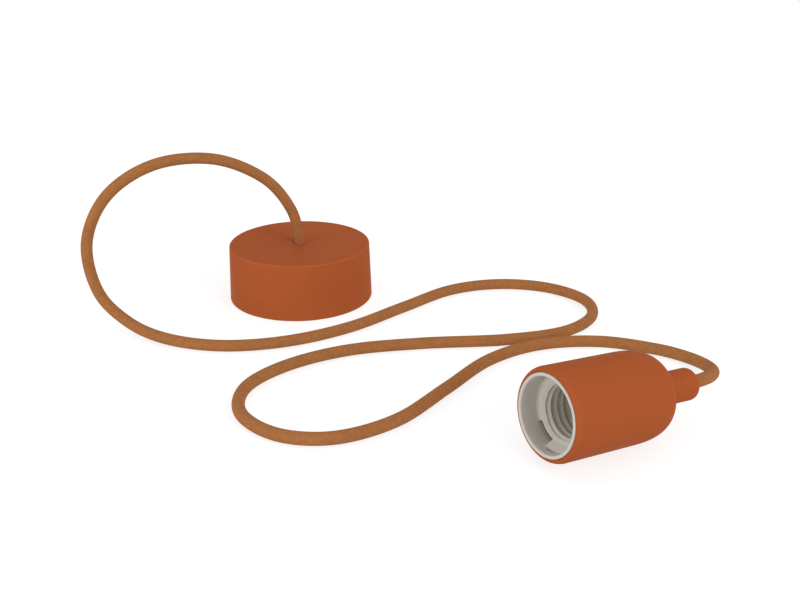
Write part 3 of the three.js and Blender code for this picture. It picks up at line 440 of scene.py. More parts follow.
def linear(screen_colour, gain=1.0):
    """A colour as it looks on a screen, in the light values that a shader takes."""
    values = [
        c / 12.92 if c <= 0.04045 else ((c + 0.055) / 1.055) ** 2.4 for c in screen_colour
    ]
    return (*(min(v * gain, 1.0) for v in values), 1.0)


class Finish:
    """A material round one Principled shader, with noise and bump helpers on object coordinates."""

    def __init__(self, name, **values):
        self.material = bpy.data.materials.new(name)
        self.material.use_nodes = True
        self.tree = Tree(self.material.node_tree)
        self.tree.tree.nodes.clear()
        self.shader = self.tree.add("ShaderNodeBsdfPrincipled", values)
        output = self.tree.add("ShaderNodeOutputMaterial")
        self.join(self.shader.outputs[0], output.inputs["Surface"])
        self.place = self.tree.add("ShaderNodeTexCoord").outputs["Object"]

    def join(self, source, target):
        self.tree.tree.links.new(source, target)

    def noise(self, size, detail=2.0, roughness=0.5, stretch=(1, 1, 1)):
        """Noise from 0 to 1 whose features are about a size in metres across."""
        mapping = self.tree.add("ShaderNodeMapping", {"Vector": self.place, "Scale": stretch})
        inputs = {
            "Vector": mapping.outputs[0],
            "Scale": 1 / size,
            "Detail": detail,
            "Roughness": roughness,
        }
        return self.tree.add("ShaderNodeTexNoise", inputs).outputs["Fac"]

    def paint(self, base, pattern, darker=0.94, lighter=1.06):
        """Base colour that a pattern makes a little darker and lighter."""
        mixed = self.tree.blend(pattern, linear(base, darker), linear(base, lighter))
        self.join(mixed, self.shader.inputs["Base Color"])

    def polish(self, pattern, low, high):
        self.join(self.tree.spread(pattern, low, high), self.shader.inputs["Roughness"])

    def bump(self, height, distance, strength=1.0):
        inputs = {"Height": height, "Distance": distance, "Strength": strength}
        node = self.tree.add("ShaderNodeBump", inputs)
        self.join(node.outputs[0], self.shader.inputs["Normal"])


def silicone_finish(name, base):
    """Matt silicone rubber: soft mottling, a fine matt grain, and a painted highlight that makes the
    marked top edge lighter.
    """
    finish = Finish(name)
    finish.shader.inputs["IOR"].default_value = 1.05
    mottling_share, highlight_share = 0.3, 0.6
    # Painted highlight: the marked round of the top edge is painted lighter, on top of the mottling's
    # random tone
    edge = finish.tree.add("ShaderNodeAttribute", attribute_name=HIGHLIGHT_MARK).outputs["Fac"]
    mottling = finish.tree.math("MULTIPLY", finish.noise(14 * MM, 4), mottling_share)
    finish.paint(base, finish.tree.math("MULTIPLY_ADD", edge, highlight_share, mottling), 0.97, 1.15)
    finish.polish(finish.noise(5 * MM, 3), 0.42, 0.55)
    grain = finish.noise(0.35 * MM, 3, 0.65)
    finish.bump(grain, 0.02 * MM, 0.7)
    return finish.material


def braid_finish(name, base, settings):
    """Textile braid, two over and two under, that follows the cord, with painted shade between the
    strands.
    """
    finish = Finish(name)
    tree = finish.tree
    finish.shader.inputs["Specular IOR Level"].default_value = 0.1
    finish.shader.inputs["Sheen Weight"].default_value = 0.03
    finish.shader.inputs["Sheen Roughness"].default_value = 0.4
    turn = tree.add("ShaderNodeAttribute", attribute_name=CAPTURED_TURN).outputs["Vector"]
    split = tree.add("ShaderNodeSeparateXYZ", {"Vector": turn}).outputs
    turn = tree.math("ARCTAN2", split["Y"], split["X"])
    around = tree.math("MULTIPLY", turn, settings.carriers / (2 * math.pi))
    around = tree.math("ADD", around, 2.0 * settings.carriers)
    along = tree.add("ShaderNodeAttribute", attribute_name=CAPTURED_ALONG).outputs["Fac"]
    along = tree.math("DIVIDE", along, settings.cell)
    one_way = tree.math("ADD", along, around)
    other_way = tree.math("SUBTRACT", along, around)
    other_way = tree.math("ADD", other_way, 8.0 * settings.carriers)
    strand_one = tree.math("FLOOR", one_way)
    strand_other = tree.math("FLOOR", other_way)
    crossing = tree.math("FLOORED_MODULO", tree.math("ADD", strand_one, strand_other), 4.0)
    first_on_top = tree.math("LESS_THAN", crossing, 1.5)

    def strand(across, index, run):
        """Height of one strand at a point, and a number that is its own."""
        middle = tree.math("SUBTRACT", tree.math("SUBTRACT", across, index), 0.5)
        rounding = tree.math("COSINE", tree.math("MULTIPLY", middle, 0.86 * math.pi))
        bulge = tree.math("ABSOLUTE", tree.math("SINE", tree.math("MULTIPLY", run, math.pi / 2)))
        height = tree.math("MULTIPLY", rounding, tree.math("MULTIPLY_ADD", bulge, 0.45, 0.55))
        ply = tree.math("COSINE", tree.math("MULTIPLY", middle, 6 * math.pi))
        return tree.math("MULTIPLY_ADD", ply, 0.09, height)

    run_one = tree.math("ADD", strand_one, other_way)
    run_other = tree.math("ADD", strand_other, one_way)
    height_one = strand(one_way, strand_one, run_one)
    height_other = strand(other_way, strand_other, run_other)
    picked = tree.add("ShaderNodeMix", {0: first_on_top, 2: height_other, 3: height_one})
    height = picked.outputs[0]
    fibre = finish.noise(0.16 * MM, 3, 0.7)
    height = tree.math("MULTIPLY_ADD", fibre, 0.25, height)
    own = tree.add("ShaderNodeMix", {0: first_on_top, 2: strand_other, 3: strand_one}).outputs[0]
    own = tree.math("MULTIPLY_ADD", first_on_top, 0.37, own)
    random = tree.add("ShaderNodeTexWhiteNoise", {"W": own}, noise_dimensions="1D").outputs[0]
    wear = finish.noise(9 * MM, 3)
    tone_and_weave_shade = tree.math("MULTIPLY_ADD", random, 0.25, tree.math("MULTIPLY", wear, 0.35))
    # Painted shade: the weave is painted darker between the strands and lighter on their crests, over
    # each strand's own random tone
    tone_and_weave_shade = tree.math("MULTIPLY_ADD", height, 0.42, tone_and_weave_shade)
    finish.paint(base, tone_and_weave_shade, 0.62, 1.3)
    finish.polish(fibre, 0.78, 0.9)
    finish.bump(height, 0.16 * MM, 0.9)
    return finish.material


def moulded_finish(name, base, roughness=(0.34, 0.46), texture=0.008):
    """Moulded plastic: nearly even colour, faint flow marks and a fine eroded texture."""
    finish = Finish(name)
    finish.shader.inputs["Specular IOR Level"].default_value = 0.14
    finish.paint(base, finish.noise(7 * MM, 4), 0.97, 1.03)
    finish.polish(finish.noise(2.5 * MM, 3), *roughness)
    finish.bump(finish.noise(0.25 * MM, 3, 0.6), texture * MM, 0.8)
    return finish.material


def metal_finish(name, base, roughness, drawn=(1, 1, 1)):
    """Bright metal with drawn or plated marks and slight tarnish."""
    finish = Finish(name)
    finish.shader.inputs["Metallic"].default_value = 1.0
    finish.paint(base, finish.noise(3 * MM, 5), 0.82, 1.08)
    marks = finish.noise(0.3 * MM, 4, 0.6, drawn)
    finish.polish(marks, *roughness)
    finish.bump(marks, 0.006 * MM, 0.6)
    return finish.material


def core_finish(name, base):
    """Extruded insulation with faint lines of the extruder and a soft shine."""
    finish = Finish(name)
    finish.paint(base, finish.noise(4 * MM, 3), 0.92, 1.08)
    finish.polish(finish.noise(0.8 * MM, 3), 0.36, 0.5)
    finish.bump(finish.noise(0.2 * MM, 2), 0.008 * MM, 0.7)
    return finish.material


def make_finishes(colours, cord):
    """Every material of the cord set by the slot that it fills."""
    return {
        "silicone": silicone_finish("silicone_rubber", colours.silicone),
        "textile_braid": braid_finish("textile_braid", colours.braid, cord),
        "liner_plastic": moulded_finish("liner_plastic", colours.liner),
        "white_nylon": moulded_finish("white_nylon", colours.nylon, (0.42, 0.55), 0.015),
        "clear_polyamide": moulded_finish("milky_polyamide", colours.polyamide, (0.25, 0.38)),
        "zinc_steel": metal_finish("zinc_plated_steel", colours.steel, (0.26, 0.42), (1, 4, 1)),
        "brass": metal_finish("drawn_brass", colours.brass, (0.22, 0.36), (4, 1, 1)),
        "brown_core": core_finish("brown_insulation", colours.brown_core),
        "blue_core": core_finish("blue_insulation", colours.blue_core),
    }


FINISHES = {}


def finish_of(slot):
    """The material of a slot, made with all the others when first asked for."""
    if not FINISHES:
        scene = bpy.context.scene
        FINISHES.update(make_finishes(scene.cordset_finish, scene.cordset_cord))
    return FINISHES[slot]


def dress(target, slot, *nodes):
    """Gives a new piece its material and its body, and hides the CAD nodes that it stands for."""
    target.data.materials.clear()
    target.data.materials.append(finish_of(slot))
    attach(target, BODY)
    if nodes:
        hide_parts(*nodes)
    return target


# The cord


def catmull_handles(points):
    """Bezier knots with their handles for the smooth curve through some points."""
    knots = [Vector(p) for p in points]
    result = []
    for i, knot in enumerate(knots):
        before, after = knots[max(i - 1, 0)], knots[min(i + 1, len(knots) - 1)]
        reach = (after - before) / (3 if i in (0, len(knots) - 1) else 6)
        result.append((knot - reach, knot, knot + reach))
    return result


def route_line(points):
    """The curve as a close row of points."""
    knots = catmull_handles(points)
    line = []
    for (_, start, leave), (arrive, end, _) in zip(knots, knots[1:]):
        line += interpolate_bezier(start, leave, arrive, end, ROUTE_DETAIL + 1)[:-1]
    return [*line, knots[-1][1]]


def route_curve(name, points):
    """A curve object of one open Bezier spline through some points."""
    data = bpy.data.curves.new(name, "CURVE")
    data.dimensions = "3D"
    data.resolution_u = ROUTE_DETAIL
    spline = data.splines.new("BEZIER")
    spline.bezier_points.add(len(points) - 1)
    for point, (left, knot, right) in zip(spline.bezier_points, catmull_handles(points)):
        point.handle_left_type = point.handle_right_type = "FREE"
        point.handle_left, point.co, point.handle_right = left, knot, right
    result = bpy.data.objects.new(name, data)
    bpy.context.scene.collection.objects.link(result)
    return result


def new_node_group(name, sockets):
    """A Geometry Nodes tree with a geometry way through and some named inputs."""
    group = bpy.data.node_groups.new(name, "GeometryNodeTree")
    group.interface.new_socket("Geometry", in_out="INPUT", socket_type="NodeSocketGeometry")
    for label, kind in sockets:
        group.interface.new_socket(label, in_out="INPUT", socket_type=f"NodeSocket{kind}")
    group.interface.new_socket("Geometry", in_out="OUTPUT", socket_type="NodeSocketGeometry")
    return group


def run_nodes(target, group, values, place=None):
    """Runs a Geometry Nodes tree on an object and returns the result as a plain mesh object."""
    modifier = target.modifiers.new(group.name, "NODES")
    modifier.node_group = group
    sockets = {s.name: s.identifier for s in group.interface.items_tree if s.in_out == "INPUT"}
    for label, value in values.items():
        modifier[sockets[label]] = value
    graph = bpy.context.evaluated_depsgraph_get()
    mesh = bpy.data.meshes.new_from_object(target.evaluated_get(graph))
    name = target.name
    data = target.data
    bpy.data.objects.remove(target)
    bpy.data.batch_remove([data])
    mesh.name = name
    if place is not None:
        mesh.transform(place)
    result = bpy.data.objects.new(name, mesh)
    bpy.context.scene.collection.objects.link(result)
    return result


def braided_sweep():
    """A Geometry Nodes tree that sweeps a round cord along a curve, with the crossings of a braid."""
    sockets = [("Radius", "Float"), ("Carriers", "Int"), ("Cell Length", "Float")]
    sockets += [("Relief", "Float"), ("Material", "Material")]
    group = new_node_group("Braided Cord", sockets)
    tree = Tree(group)
    given = tree.add("NodeGroupInput").outputs
    half_cell = tree.math("MULTIPLY", given["Cell Length"], 0.5)
    evened = tree.add(
        "GeometryNodeResampleCurve", {"Curve": given["Geometry"], "Length": half_cell}, mode="LENGTH"
    )
    along = tree.add("GeometryNodeSplineParameter").outputs["Length"]
    way = tree.add(
        "GeometryNodeStoreNamedAttribute",
        {"Geometry": evened.outputs[0], "Name": CAPTURED_ALONG, "Value": along},
        data_type="FLOAT",
        domain="POINT",
    )
    sides = tree.math("MULTIPLY", given["Carriers"], 2.0)
    circle = tree.add(
        "GeometryNodeCurvePrimitiveCircle", {"Resolution": sides, "Radius": given["Radius"]}
    )
    factor = tree.add("GeometryNodeSplineParameter").outputs["Factor"]
    turn = tree.math("MULTIPLY", factor, 2 * math.pi)
    direction = tree.add(
        "ShaderNodeCombineXYZ",
        {"X": tree.math("COSINE", turn), "Y": tree.math("SINE", turn)},
    )
    section = tree.add(
        "GeometryNodeStoreNamedAttribute",
        {"Geometry": circle.outputs[0], "Name": CAPTURED_TURN, "Value": direction.outputs[0]},
        data_type="FLOAT_VECTOR",
        domain="POINT",
    )
    swept = tree.add(
        "GeometryNodeCurveToMesh",
        {"Curve": way.outputs[0], "Profile Curve": section.outputs[0], "Fill Caps": True},
    )
    turn_read = tree.add(
        "GeometryNodeInputNamedAttribute", {"Name": CAPTURED_TURN}, data_type="FLOAT_VECTOR"
    )
    parts = tree.add("ShaderNodeSeparateXYZ", {"Vector": turn_read.outputs["Attribute"]}).outputs
    around = tree.math("ARCTAN2", parts["Y"], parts["X"])
    around = tree.math("MULTIPLY", around, tree.math("MULTIPLY", given["Carriers"], 0.5))
    along_read = tree.add(
        "GeometryNodeInputNamedAttribute", {"Name": CAPTURED_ALONG}, data_type="FLOAT"
    )
    cells = tree.math("DIVIDE", along_read.outputs["Attribute"], given["Cell Length"])
    swing = tree.math("MULTIPLY_ADD", cells, math.pi, around)
    crest = tree.math("POWER", tree.math("ABSOLUTE", tree.math("SINE", swing)), 2.0)
    normal = tree.add("GeometryNodeInputNormal").outputs[0]
    rise = tree.math("MULTIPLY", tree.math("SUBTRACT", crest, 0.5), given["Relief"])
    offset = tree.add("ShaderNodeVectorMath", {0: normal, "Scale": rise}, operation="SCALE")
    moved = tree.add(
        "GeometryNodeSetPosition", {"Geometry": swept.outputs[0], "Offset": offset.outputs[0]}
    )
    smooth = tree.add("GeometryNodeSetShadeSmooth", {"Geometry": moved.outputs[0]})
    tree.end(smooth.outputs[0], given["Material"])
    return group


class CORDSET_OT_cord(bpy.types.Operator):
    """Builds the braided cord along its way from the rose to the holder"""

    bl_idname = "cordset.cord"
    bl_label = "Braided Cord"

    def execute(self, context):
        settings = context.scene.cordset_cord
        values = {
            "Radius": settings.diameter / 2,
            "Carriers": settings.carriers,
            "Cell Length": settings.cell,
            "Relief": settings.relief,
            "Material": finish_of("textile_braid"),
        }
        cord = run_nodes(route_curve("braided_cord", CORD_ROUTE), braided_sweep(), values)
        face_outwards(cord)
        cord.data.shade_smooth()
        dress(cord, "textile_braid", "cord")
        line = route_line(CORD_ROUTE)
        return {"FINISHED"}


# The rose


def rose_inside(rose, height):
    """Inner radius of the cover at a height."""
    slope = (rose.top_radius - rose.base_radius) / rose.height
    return rose.base_radius + slope * height - rose.wall


LIP_DEPTH = 1.8 * MM
FLANGE_HEIGHTS = (1.6 * MM, 3.6 * MM)


def rose_profile(rose):
    """Section of the cover from the lip round the outside to the cord hole and back inside."""
    lip_thickness = 1.3 * MM
    bead_height, bead_depth, bead_slope = 1.8 * MM, 1.1 * MM, 0.8 * MM
    collar_length, collar_wall, collar_flare, flare_height = 5 * MM, 2.6 * MM, 0.6 * MM, 1.5 * MM
    inner_round, hole_round = 1.2 * MM, 0.3 * MM
    groove_high = FLANGE_HEIGHTS[1] + FIT
    lip = rose_inside(rose, 0) - LIP_DEPTH
    bead = rose_inside(rose, groove_high) - bead_depth
    ceiling = rose.height - rose.top
    collar = rose.cord_hole + collar_wall
    foot = (rose.base_radius - rose.foot_round, rose.foot_round)
    edge = (rose.top_radius - rose.edge_round, rose.height - rose.edge_round)
    hole_edge = (rose.cord_hole + hole_round, rose.height - hole_round)
    corner = (rose_inside(rose, ceiling) - inner_round, ceiling - inner_round)
    return [
        (lip, 0),
        *arc(foot, rose.foot_round, -90, 0, 6),
        *arc(edge, rose.edge_round, 1, 90, 14),
        *arc(hole_edge, hole_round, 90, 180, 5),
        (rose.cord_hole, ceiling - collar_length),
        (collar, ceiling - collar_length),
        (collar, ceiling - flare_height),
        (collar + collar_flare, ceiling),
        *arc(corner, inner_round, 90, 0, 6),
        (rose_inside(rose, groove_high + bead_height), groove_high + bead_height),
        (bead, groove_high + bead_height - bead_slope),
        (bead, groove_high),
        (rose_inside(rose, groove_high), groove_high),
        (rose_inside(rose, lip_thickness), lip_thickness),
        (lip, lip_thickness),
    ]


def mark_painted_highlight(target, rose):
    """Marks the round of the cover's top edge, most in its middle, where the material paints a
    highlight.
    """
    mark = target.data.attributes.new(HIGHLIGHT_MARK, "FLOAT", "POINT")
    for vertex, value in zip(target.data.vertices, mark.data):
        across = math.hypot(vertex.co.x, vertex.co.y) - rose.top_radius + rose.edge_round
        up = vertex.co.z - rose.height + rose.edge_round
        if across > 0 and up > 0:
            value.value = math.sin(2 * math.atan2(up, across))


class CORDSET_OT_rose(bpy.types.Operator):
    """Builds the silicone cover of the ceiling rose"""

    bl_idname = "cordset.rose"
    bl_label = "Rose Cover"

    def execute(self, context):
        cover = turned("silicone_cover", rose_profile(context.scene.cordset_rose))
        mark_painted_highlight(cover, context.scene.cordset_rose)
        dress(cover, "silicone", "rose_cover")
        return {"FINISHED"}


# The lamp holder


def holder_place(holder):
    """Turns sizes along the holder's own axis, from the mouth to the neck, into the row frame."""
    turn = Matrix.Rotation(math.pi / 2 + holder.tilt, 4, "Y")
    return Matrix.Translation(holder.mouth) @ turn


def shoulder(wide, narrow, start, end, count):
    """Rounded shoulder between two radii, as (radius, distance) points."""
    power = 2 / 3
    points = []
    for i in range(count):
        turn = math.pi / 2 * i / (count - 1)
        across = max(math.cos(turn), 0) ** power
        along = math.sin(turn) ** power
        points.append((narrow + (wide - narrow) * across, start + (end - start) * along))
    return points


def sleeve_front(holder, lip, count=14):
    """The rounded front of the sleeve, from its lip out to its full width."""
    points = []
    for i in range(count):
        turn = math.pi / 2 * i / (count - 1)
        across = (holder.mouth_radius - lip) * math.sin(turn)
        along = holder.front_length * (1 - math.cos(turn))
        points.append((lip + across, holder.sleeve_start + along))
    return points


def sleeve_profile(holder):
    """Section of the sleeve from its mouth over the shoulder to the neck and back inside."""
    neck_round, root_round = 3 * MM, 1.2 * MM
    shoulder_wall, neck_wall = 2.3 * MM, 1.75 * MM
    cord_hole, neck_stop = 3.6 * MM, 79 * MM
    bore = holder.liner_radius + FIT
    neck_bore = holder.neck_radius - neck_wall
    root = (holder.neck_radius + root_round, holder.shoulder_end + root_round)
    tip = (holder.neck_radius - neck_round, holder.neck_end - neck_round)
    start, end = holder.shoulder_start, holder.shoulder_end
    inside = shoulder(bore, neck_bore, start, end - shoulder_wall, 24)
    return [
        (bore, holder.sleeve_start),
        *sleeve_front(holder, bore + holder.lip_width),
        *shoulder(holder.radius, holder.neck_radius + root_round, start, end, 40),
        *arc(root, root_round, -90, -180, 8)[1:],
        *arc(tip, neck_round, 0, 90, 14),
        (cord_hole, holder.neck_end),
        (cord_hole, neck_stop),
        (neck_bore, neck_stop),
        *reversed(inside),
    ]


class CORDSET_OT_sleeve(bpy.types.Operator):
    """Builds the silicone sleeve of the lamp holder"""

    bl_idname = "cordset.sleeve"
    bl_label = "Holder Sleeve"

    def execute(self, context):
        holder = context.scene.cordset_holder
        sleeve = turned("silicone_sleeve", sleeve_profile(holder), holder_place(holder))
        dress(sleeve, "silicone", "holder_sleeve")
        return {"FINISHED"}


def liner_turns(ramp):
    """The directions of the liner's sections in degrees, with a pair at each side of the ramp."""
    even = [360 * k / ROUND_SIDES for k in range(ROUND_SIDES)]
    sides = [side % 360 + step for side in ramp for step in (-0.02, 0.02)]
    return sorted([turn for turn in even if all(abs(turn - side) > 0.3 for side in sides)] + sides)


def liner_mesh(holder, place):
    """The liner as one closed mesh: its section turned, with the lamp thread wound inside."""
    edge, inner_edge = 0.4 * MM, 0.8 * MM
    crest, depth, lead_in = 12.2 * MM, 1.1 * MM, 0.5 * MM
    ledge_thickness, entry = 2.2 * MM, 14.4 * MM
    spigot_start, spigot_end, spigot_wall = 30 * MM, 35 * MM, 1.5 * MM
    socket_wall, socket_end = 1.3 * MM, 30.5 * MM
    ramp, ramp_start, ramp_land = (-34, 11), 5.6 * MM, 0.5 * MM
    rings_in_pitch = 16
    bore = holder.liner_radius - holder.liner_wall
    inner = bore - FIT
    ledge, ledge_back = holder.ledge_depth, holder.ledge_depth + ledge_thickness
    socket_outer = crest + depth + socket_wall
    fixed = [
        *arc((bore + inner_edge, inner_edge), inner_edge, 180, 270, 8),
        *arc((holder.liner_radius - edge, edge), edge, -90, 0, 6),
        (holder.liner_radius, spigot_start),
        (inner, spigot_start),
        (inner, spigot_end),
        (inner - spigot_wall, spigot_end),
        (inner - spigot_wall, spigot_start),
        (inner, spigot_start - spigot_wall),
        (inner, ledge_back),
        (socket_outer, ledge_back),
        (socket_outer, socket_end),
    ]
    rings = round((socket_end - ledge) / holder.thread_pitch * rings_in_pitch)
    wound = [socket_end - (socket_end - ledge) * i / rings for i in range(rings)]

    def bore_radius(height, turn):
        cone = entry - (entry - crest) * (height - ledge) / ledge_thickness
        if height < ledge + lead_in:
            return cone
        wave = math.cos(2 * math.pi * height / holder.thread_pitch - turn)
        return max(crest + depth * (1 + wave) / 2, cone)

    vertices = []
    turns = liner_turns(ramp)
    for degrees in turns:
        turn = math.radians(degrees)
        on_ramp = (degrees - ramp[0]) % 360 < ramp[1] - ramp[0]
        top = entry + ramp_land if on_ramp else bore
        thread = [(bore_radius(height, turn), height) for height in wound]
        for r, h in (*fixed, *thread, (entry, ledge), (top, ledge), (bore, ramp_start)):
            vertices.append((r * math.cos(turn), r * math.sin(turn), h))
    faces = ring_faces(len(turns), len(vertices) // len(turns))
    result = mesh_object("lamp_liner", vertices, faces, place)
    face_outwards(result)
    return result


def notch_tools(holder, place):
    """Cutters for the two notches through the ledge, the latch slot and the side contact's slot."""
    inner, relief, notch_through = 15.3 * MM, 0.15 * MM, 3.2 * MM
    latch_width, latch_depth, latch_low, latch_high = 5.4 * MM, 1.8 * MM, 4.2 * MM, 5.6 * MM
    contact_width, contact_depth, contact_middle = 7 * MM, 14.6 * MM, -13.1 * MM
    contact_low, contact_high = 25.5 * MM, 35.5 * MM
    bore = holder.liner_radius - holder.liner_wall
    low, high = holder.ledge_depth - relief, holder.ledge_depth + notch_through
    outer = arc((0, 0), bore + relief, 12, 52, 24)
    notch = outer + arc((0, 0), inner, 52, 12, 24)
    latch_turn = Matrix.Rotation(math.radians(-6), 4, "Z")
    latch = rectangle(latch_depth, latch_width, (bore, 0))
    contact = rectangle(contact_depth, contact_width, (contact_middle, 0))
    return [
        prism(notch, low, high, place),
        prism(notch, low, high, place @ Matrix.Rotation(math.pi, 4, "Z")),
        prism(latch, latch_low, latch_high, place @ latch_turn),
        prism(contact, contact_low, contact_high, place),
    ]


class CORDSET_OT_liner(bpy.types.Operator):
    """Builds the moulded liner with its notched ledge and the lamp thread"""

    bl_idname = "cordset.liner"
    bl_label = "Lamp Liner"

    def execute(self, context):
        holder = context.scene.cordset_holder
        place = holder_place(holder)
        liner = liner_mesh(holder, place)
        combine(liner, notch_tools(holder, place))
        shade(liner, 30)
        dress(liner, "liner_plastic", "holder_skirt")
        return {"FINISHED"}


# The plate behind the rose

STRAP_SCREW_PLACE = 27 * MM
BLOCK_PLACE = 21 * MM
MAINS_PLACE = (-15 * MM, -22 * MM)


def plate_disc(rose):
    """The plate's disc with its thicker rim, which the lip of the cover grips."""
    thickness, flange_width, slope = 2.4 * MM, 6 * MM, 1 * MM
    low, high = FLANGE_HEIGHTS
    back = rose_inside(rose, 0) - LIP_DEPTH - FIT
    flange = rose_inside(rose, high + FIT) - FIT
    inner = flange - flange_width
    outline = [(0, 0), (back, 0), (back, low), (flange, low), (flange, high), (inner, high)]
    return turned("ceiling_plate", [*outline, (inner - slope, thickness), (0, thickness)])


def plate_bosses():
    """What stands on the disc: two screw bosses, two ribs and the collar of the mains hole."""
    start, rib_top, boss_top = 1.2 * MM, 3.4 * MM, 6 * MM
    boss_radius, collar_radius, collar_top = 4.2 * MM, 8.4 * MM, 4.6 * MM
    rib_start, rib_width = 10 * MM, 1.2 * MM
    bosses = [prism(circle(collar_radius, MAINS_PLACE), start, collar_top)]
    for side in (-1, 1):
        place = side * STRAP_SCREW_PLACE
        rib_middle = side * (STRAP_SCREW_PLACE + rib_start) / 2
        rib = rectangle(STRAP_SCREW_PLACE - rib_start, rib_width, (rib_middle, 0))
        bosses.append(prism(circle(boss_radius, (place, 0)), start, boss_top))
        bosses.append(prism(rib, start, rib_top))
    return bosses


def plate_holes():
    """What is cut out of it: the mains hole, two ceiling slots and three blind screw holes."""
    floor, through = 0.9 * MM, 8 * MM
    mains_radius = 7 * MM
    slot_x, slot_y, slot_radius, slot_half = 25.4 * MM, -17.8 * MM, 2.6 * MM, 3.4 * MM
    strap_hole, block_hole = 1.8 * MM, 1.7 * MM
    holes = [
        prism(circle(mains_radius, MAINS_PLACE), -through, through),
        prism(circle(block_hole, (0, BLOCK_PLACE), 32), floor, through),
    ]
    for side in (-1, 1):
        x, y = side * slot_x, side * slot_y
        slot = arc((x + slot_half, y), slot_radius, -90, 90, 16)
        slot += arc((x - slot_half, y), slot_radius, 90, 270, 16)
        holes.append(prism(slot, -through, through))
        holes.append(prism(circle(strap_hole, (side * STRAP_SCREW_PLACE, 0), 32), floor, through))
    return holes


class CORDSET_OT_plate(bpy.types.Operator):
    """Builds the moulded plate that goes on the ceiling"""

    bl_idname = "cordset.plate"
    bl_label = "Ceiling Plate"

    def execute(self, context):
        plate = plate_disc(context.scene.cordset_rose)
        combine(plate, plate_bosses(), "UNION")
        combine(plate, plate_holes())
        round_edges(plate, 0.25 * MM)
        dress(plate, "white_nylon", "rose_base_plate")
        return {"FINISHED"}


# The dome behind the liner


def dome_profile(holder):
    """Section of the dome from its seat on the liner over its back to the hub and back inside."""
    seat, inside_seat, seat_width = 30.3 * MM, 38.6 * MM, 1.3 * MM
    back_end, wall = 62.4 * MM, 1.7 * MM
    hub, hub_end, hub_chamfer, cord_hole = 6 * MM, 78.7 * MM, 0.6 * MM, 3.6 * MM
    bore = holder.liner_radius - holder.liner_wall
    inner = bore - seat_width
    inside = shoulder(inner, cord_hole, holder.shoulder_start, back_end - wall, 24)
    return [
        (bore, seat),
        (holder.liner_radius, seat),
        *shoulder(holder.liner_radius, hub, holder.shoulder_start, back_end, 40),
        (hub, hub_end - hub_chamfer),
        (hub - hub_chamfer, hub_end),
        (cord_hole, hub_end),
        *reversed(inside),
        (inner, inside_seat),
        (bore, inside_seat),
    ]


class CORDSET_OT_dome(bpy.types.Operator):
    """Builds the moulded dome with the hub that holds the cord"""

    bl_idname = "cordset.dome"
    bl_label = "Holder Dome"

    def execute(self, context):
        holder = context.scene.cordset_holder
        place = holder_place(holder)
        hole_radius, hole_start, hole_end, hole_along = 1.8 * MM, 3 * MM, 7 * MM, 70 * MM
        dome = turned("holder_dome_moulding", dome_profile(holder), place)
        sideways = Matrix.Translation((0, 0, hole_along)) @ Matrix.Rotation(math.pi / 2, 4, "Y")
        combine(dome, [prism(circle(hole_radius, sides=32), hole_start, hole_end, place @ sideways)])
        shade(dome)
        dress(dome, "liner_plastic", "holder_dome")
        return {"FINISHED"}


# Screws


CONTACT_TERMINALS = (10.7 * MM, -8.9 * MM)
SCREW_SIZES = ("Shank Radius", "Shank Length", "Head Radius", "Head Height", "Pitch")


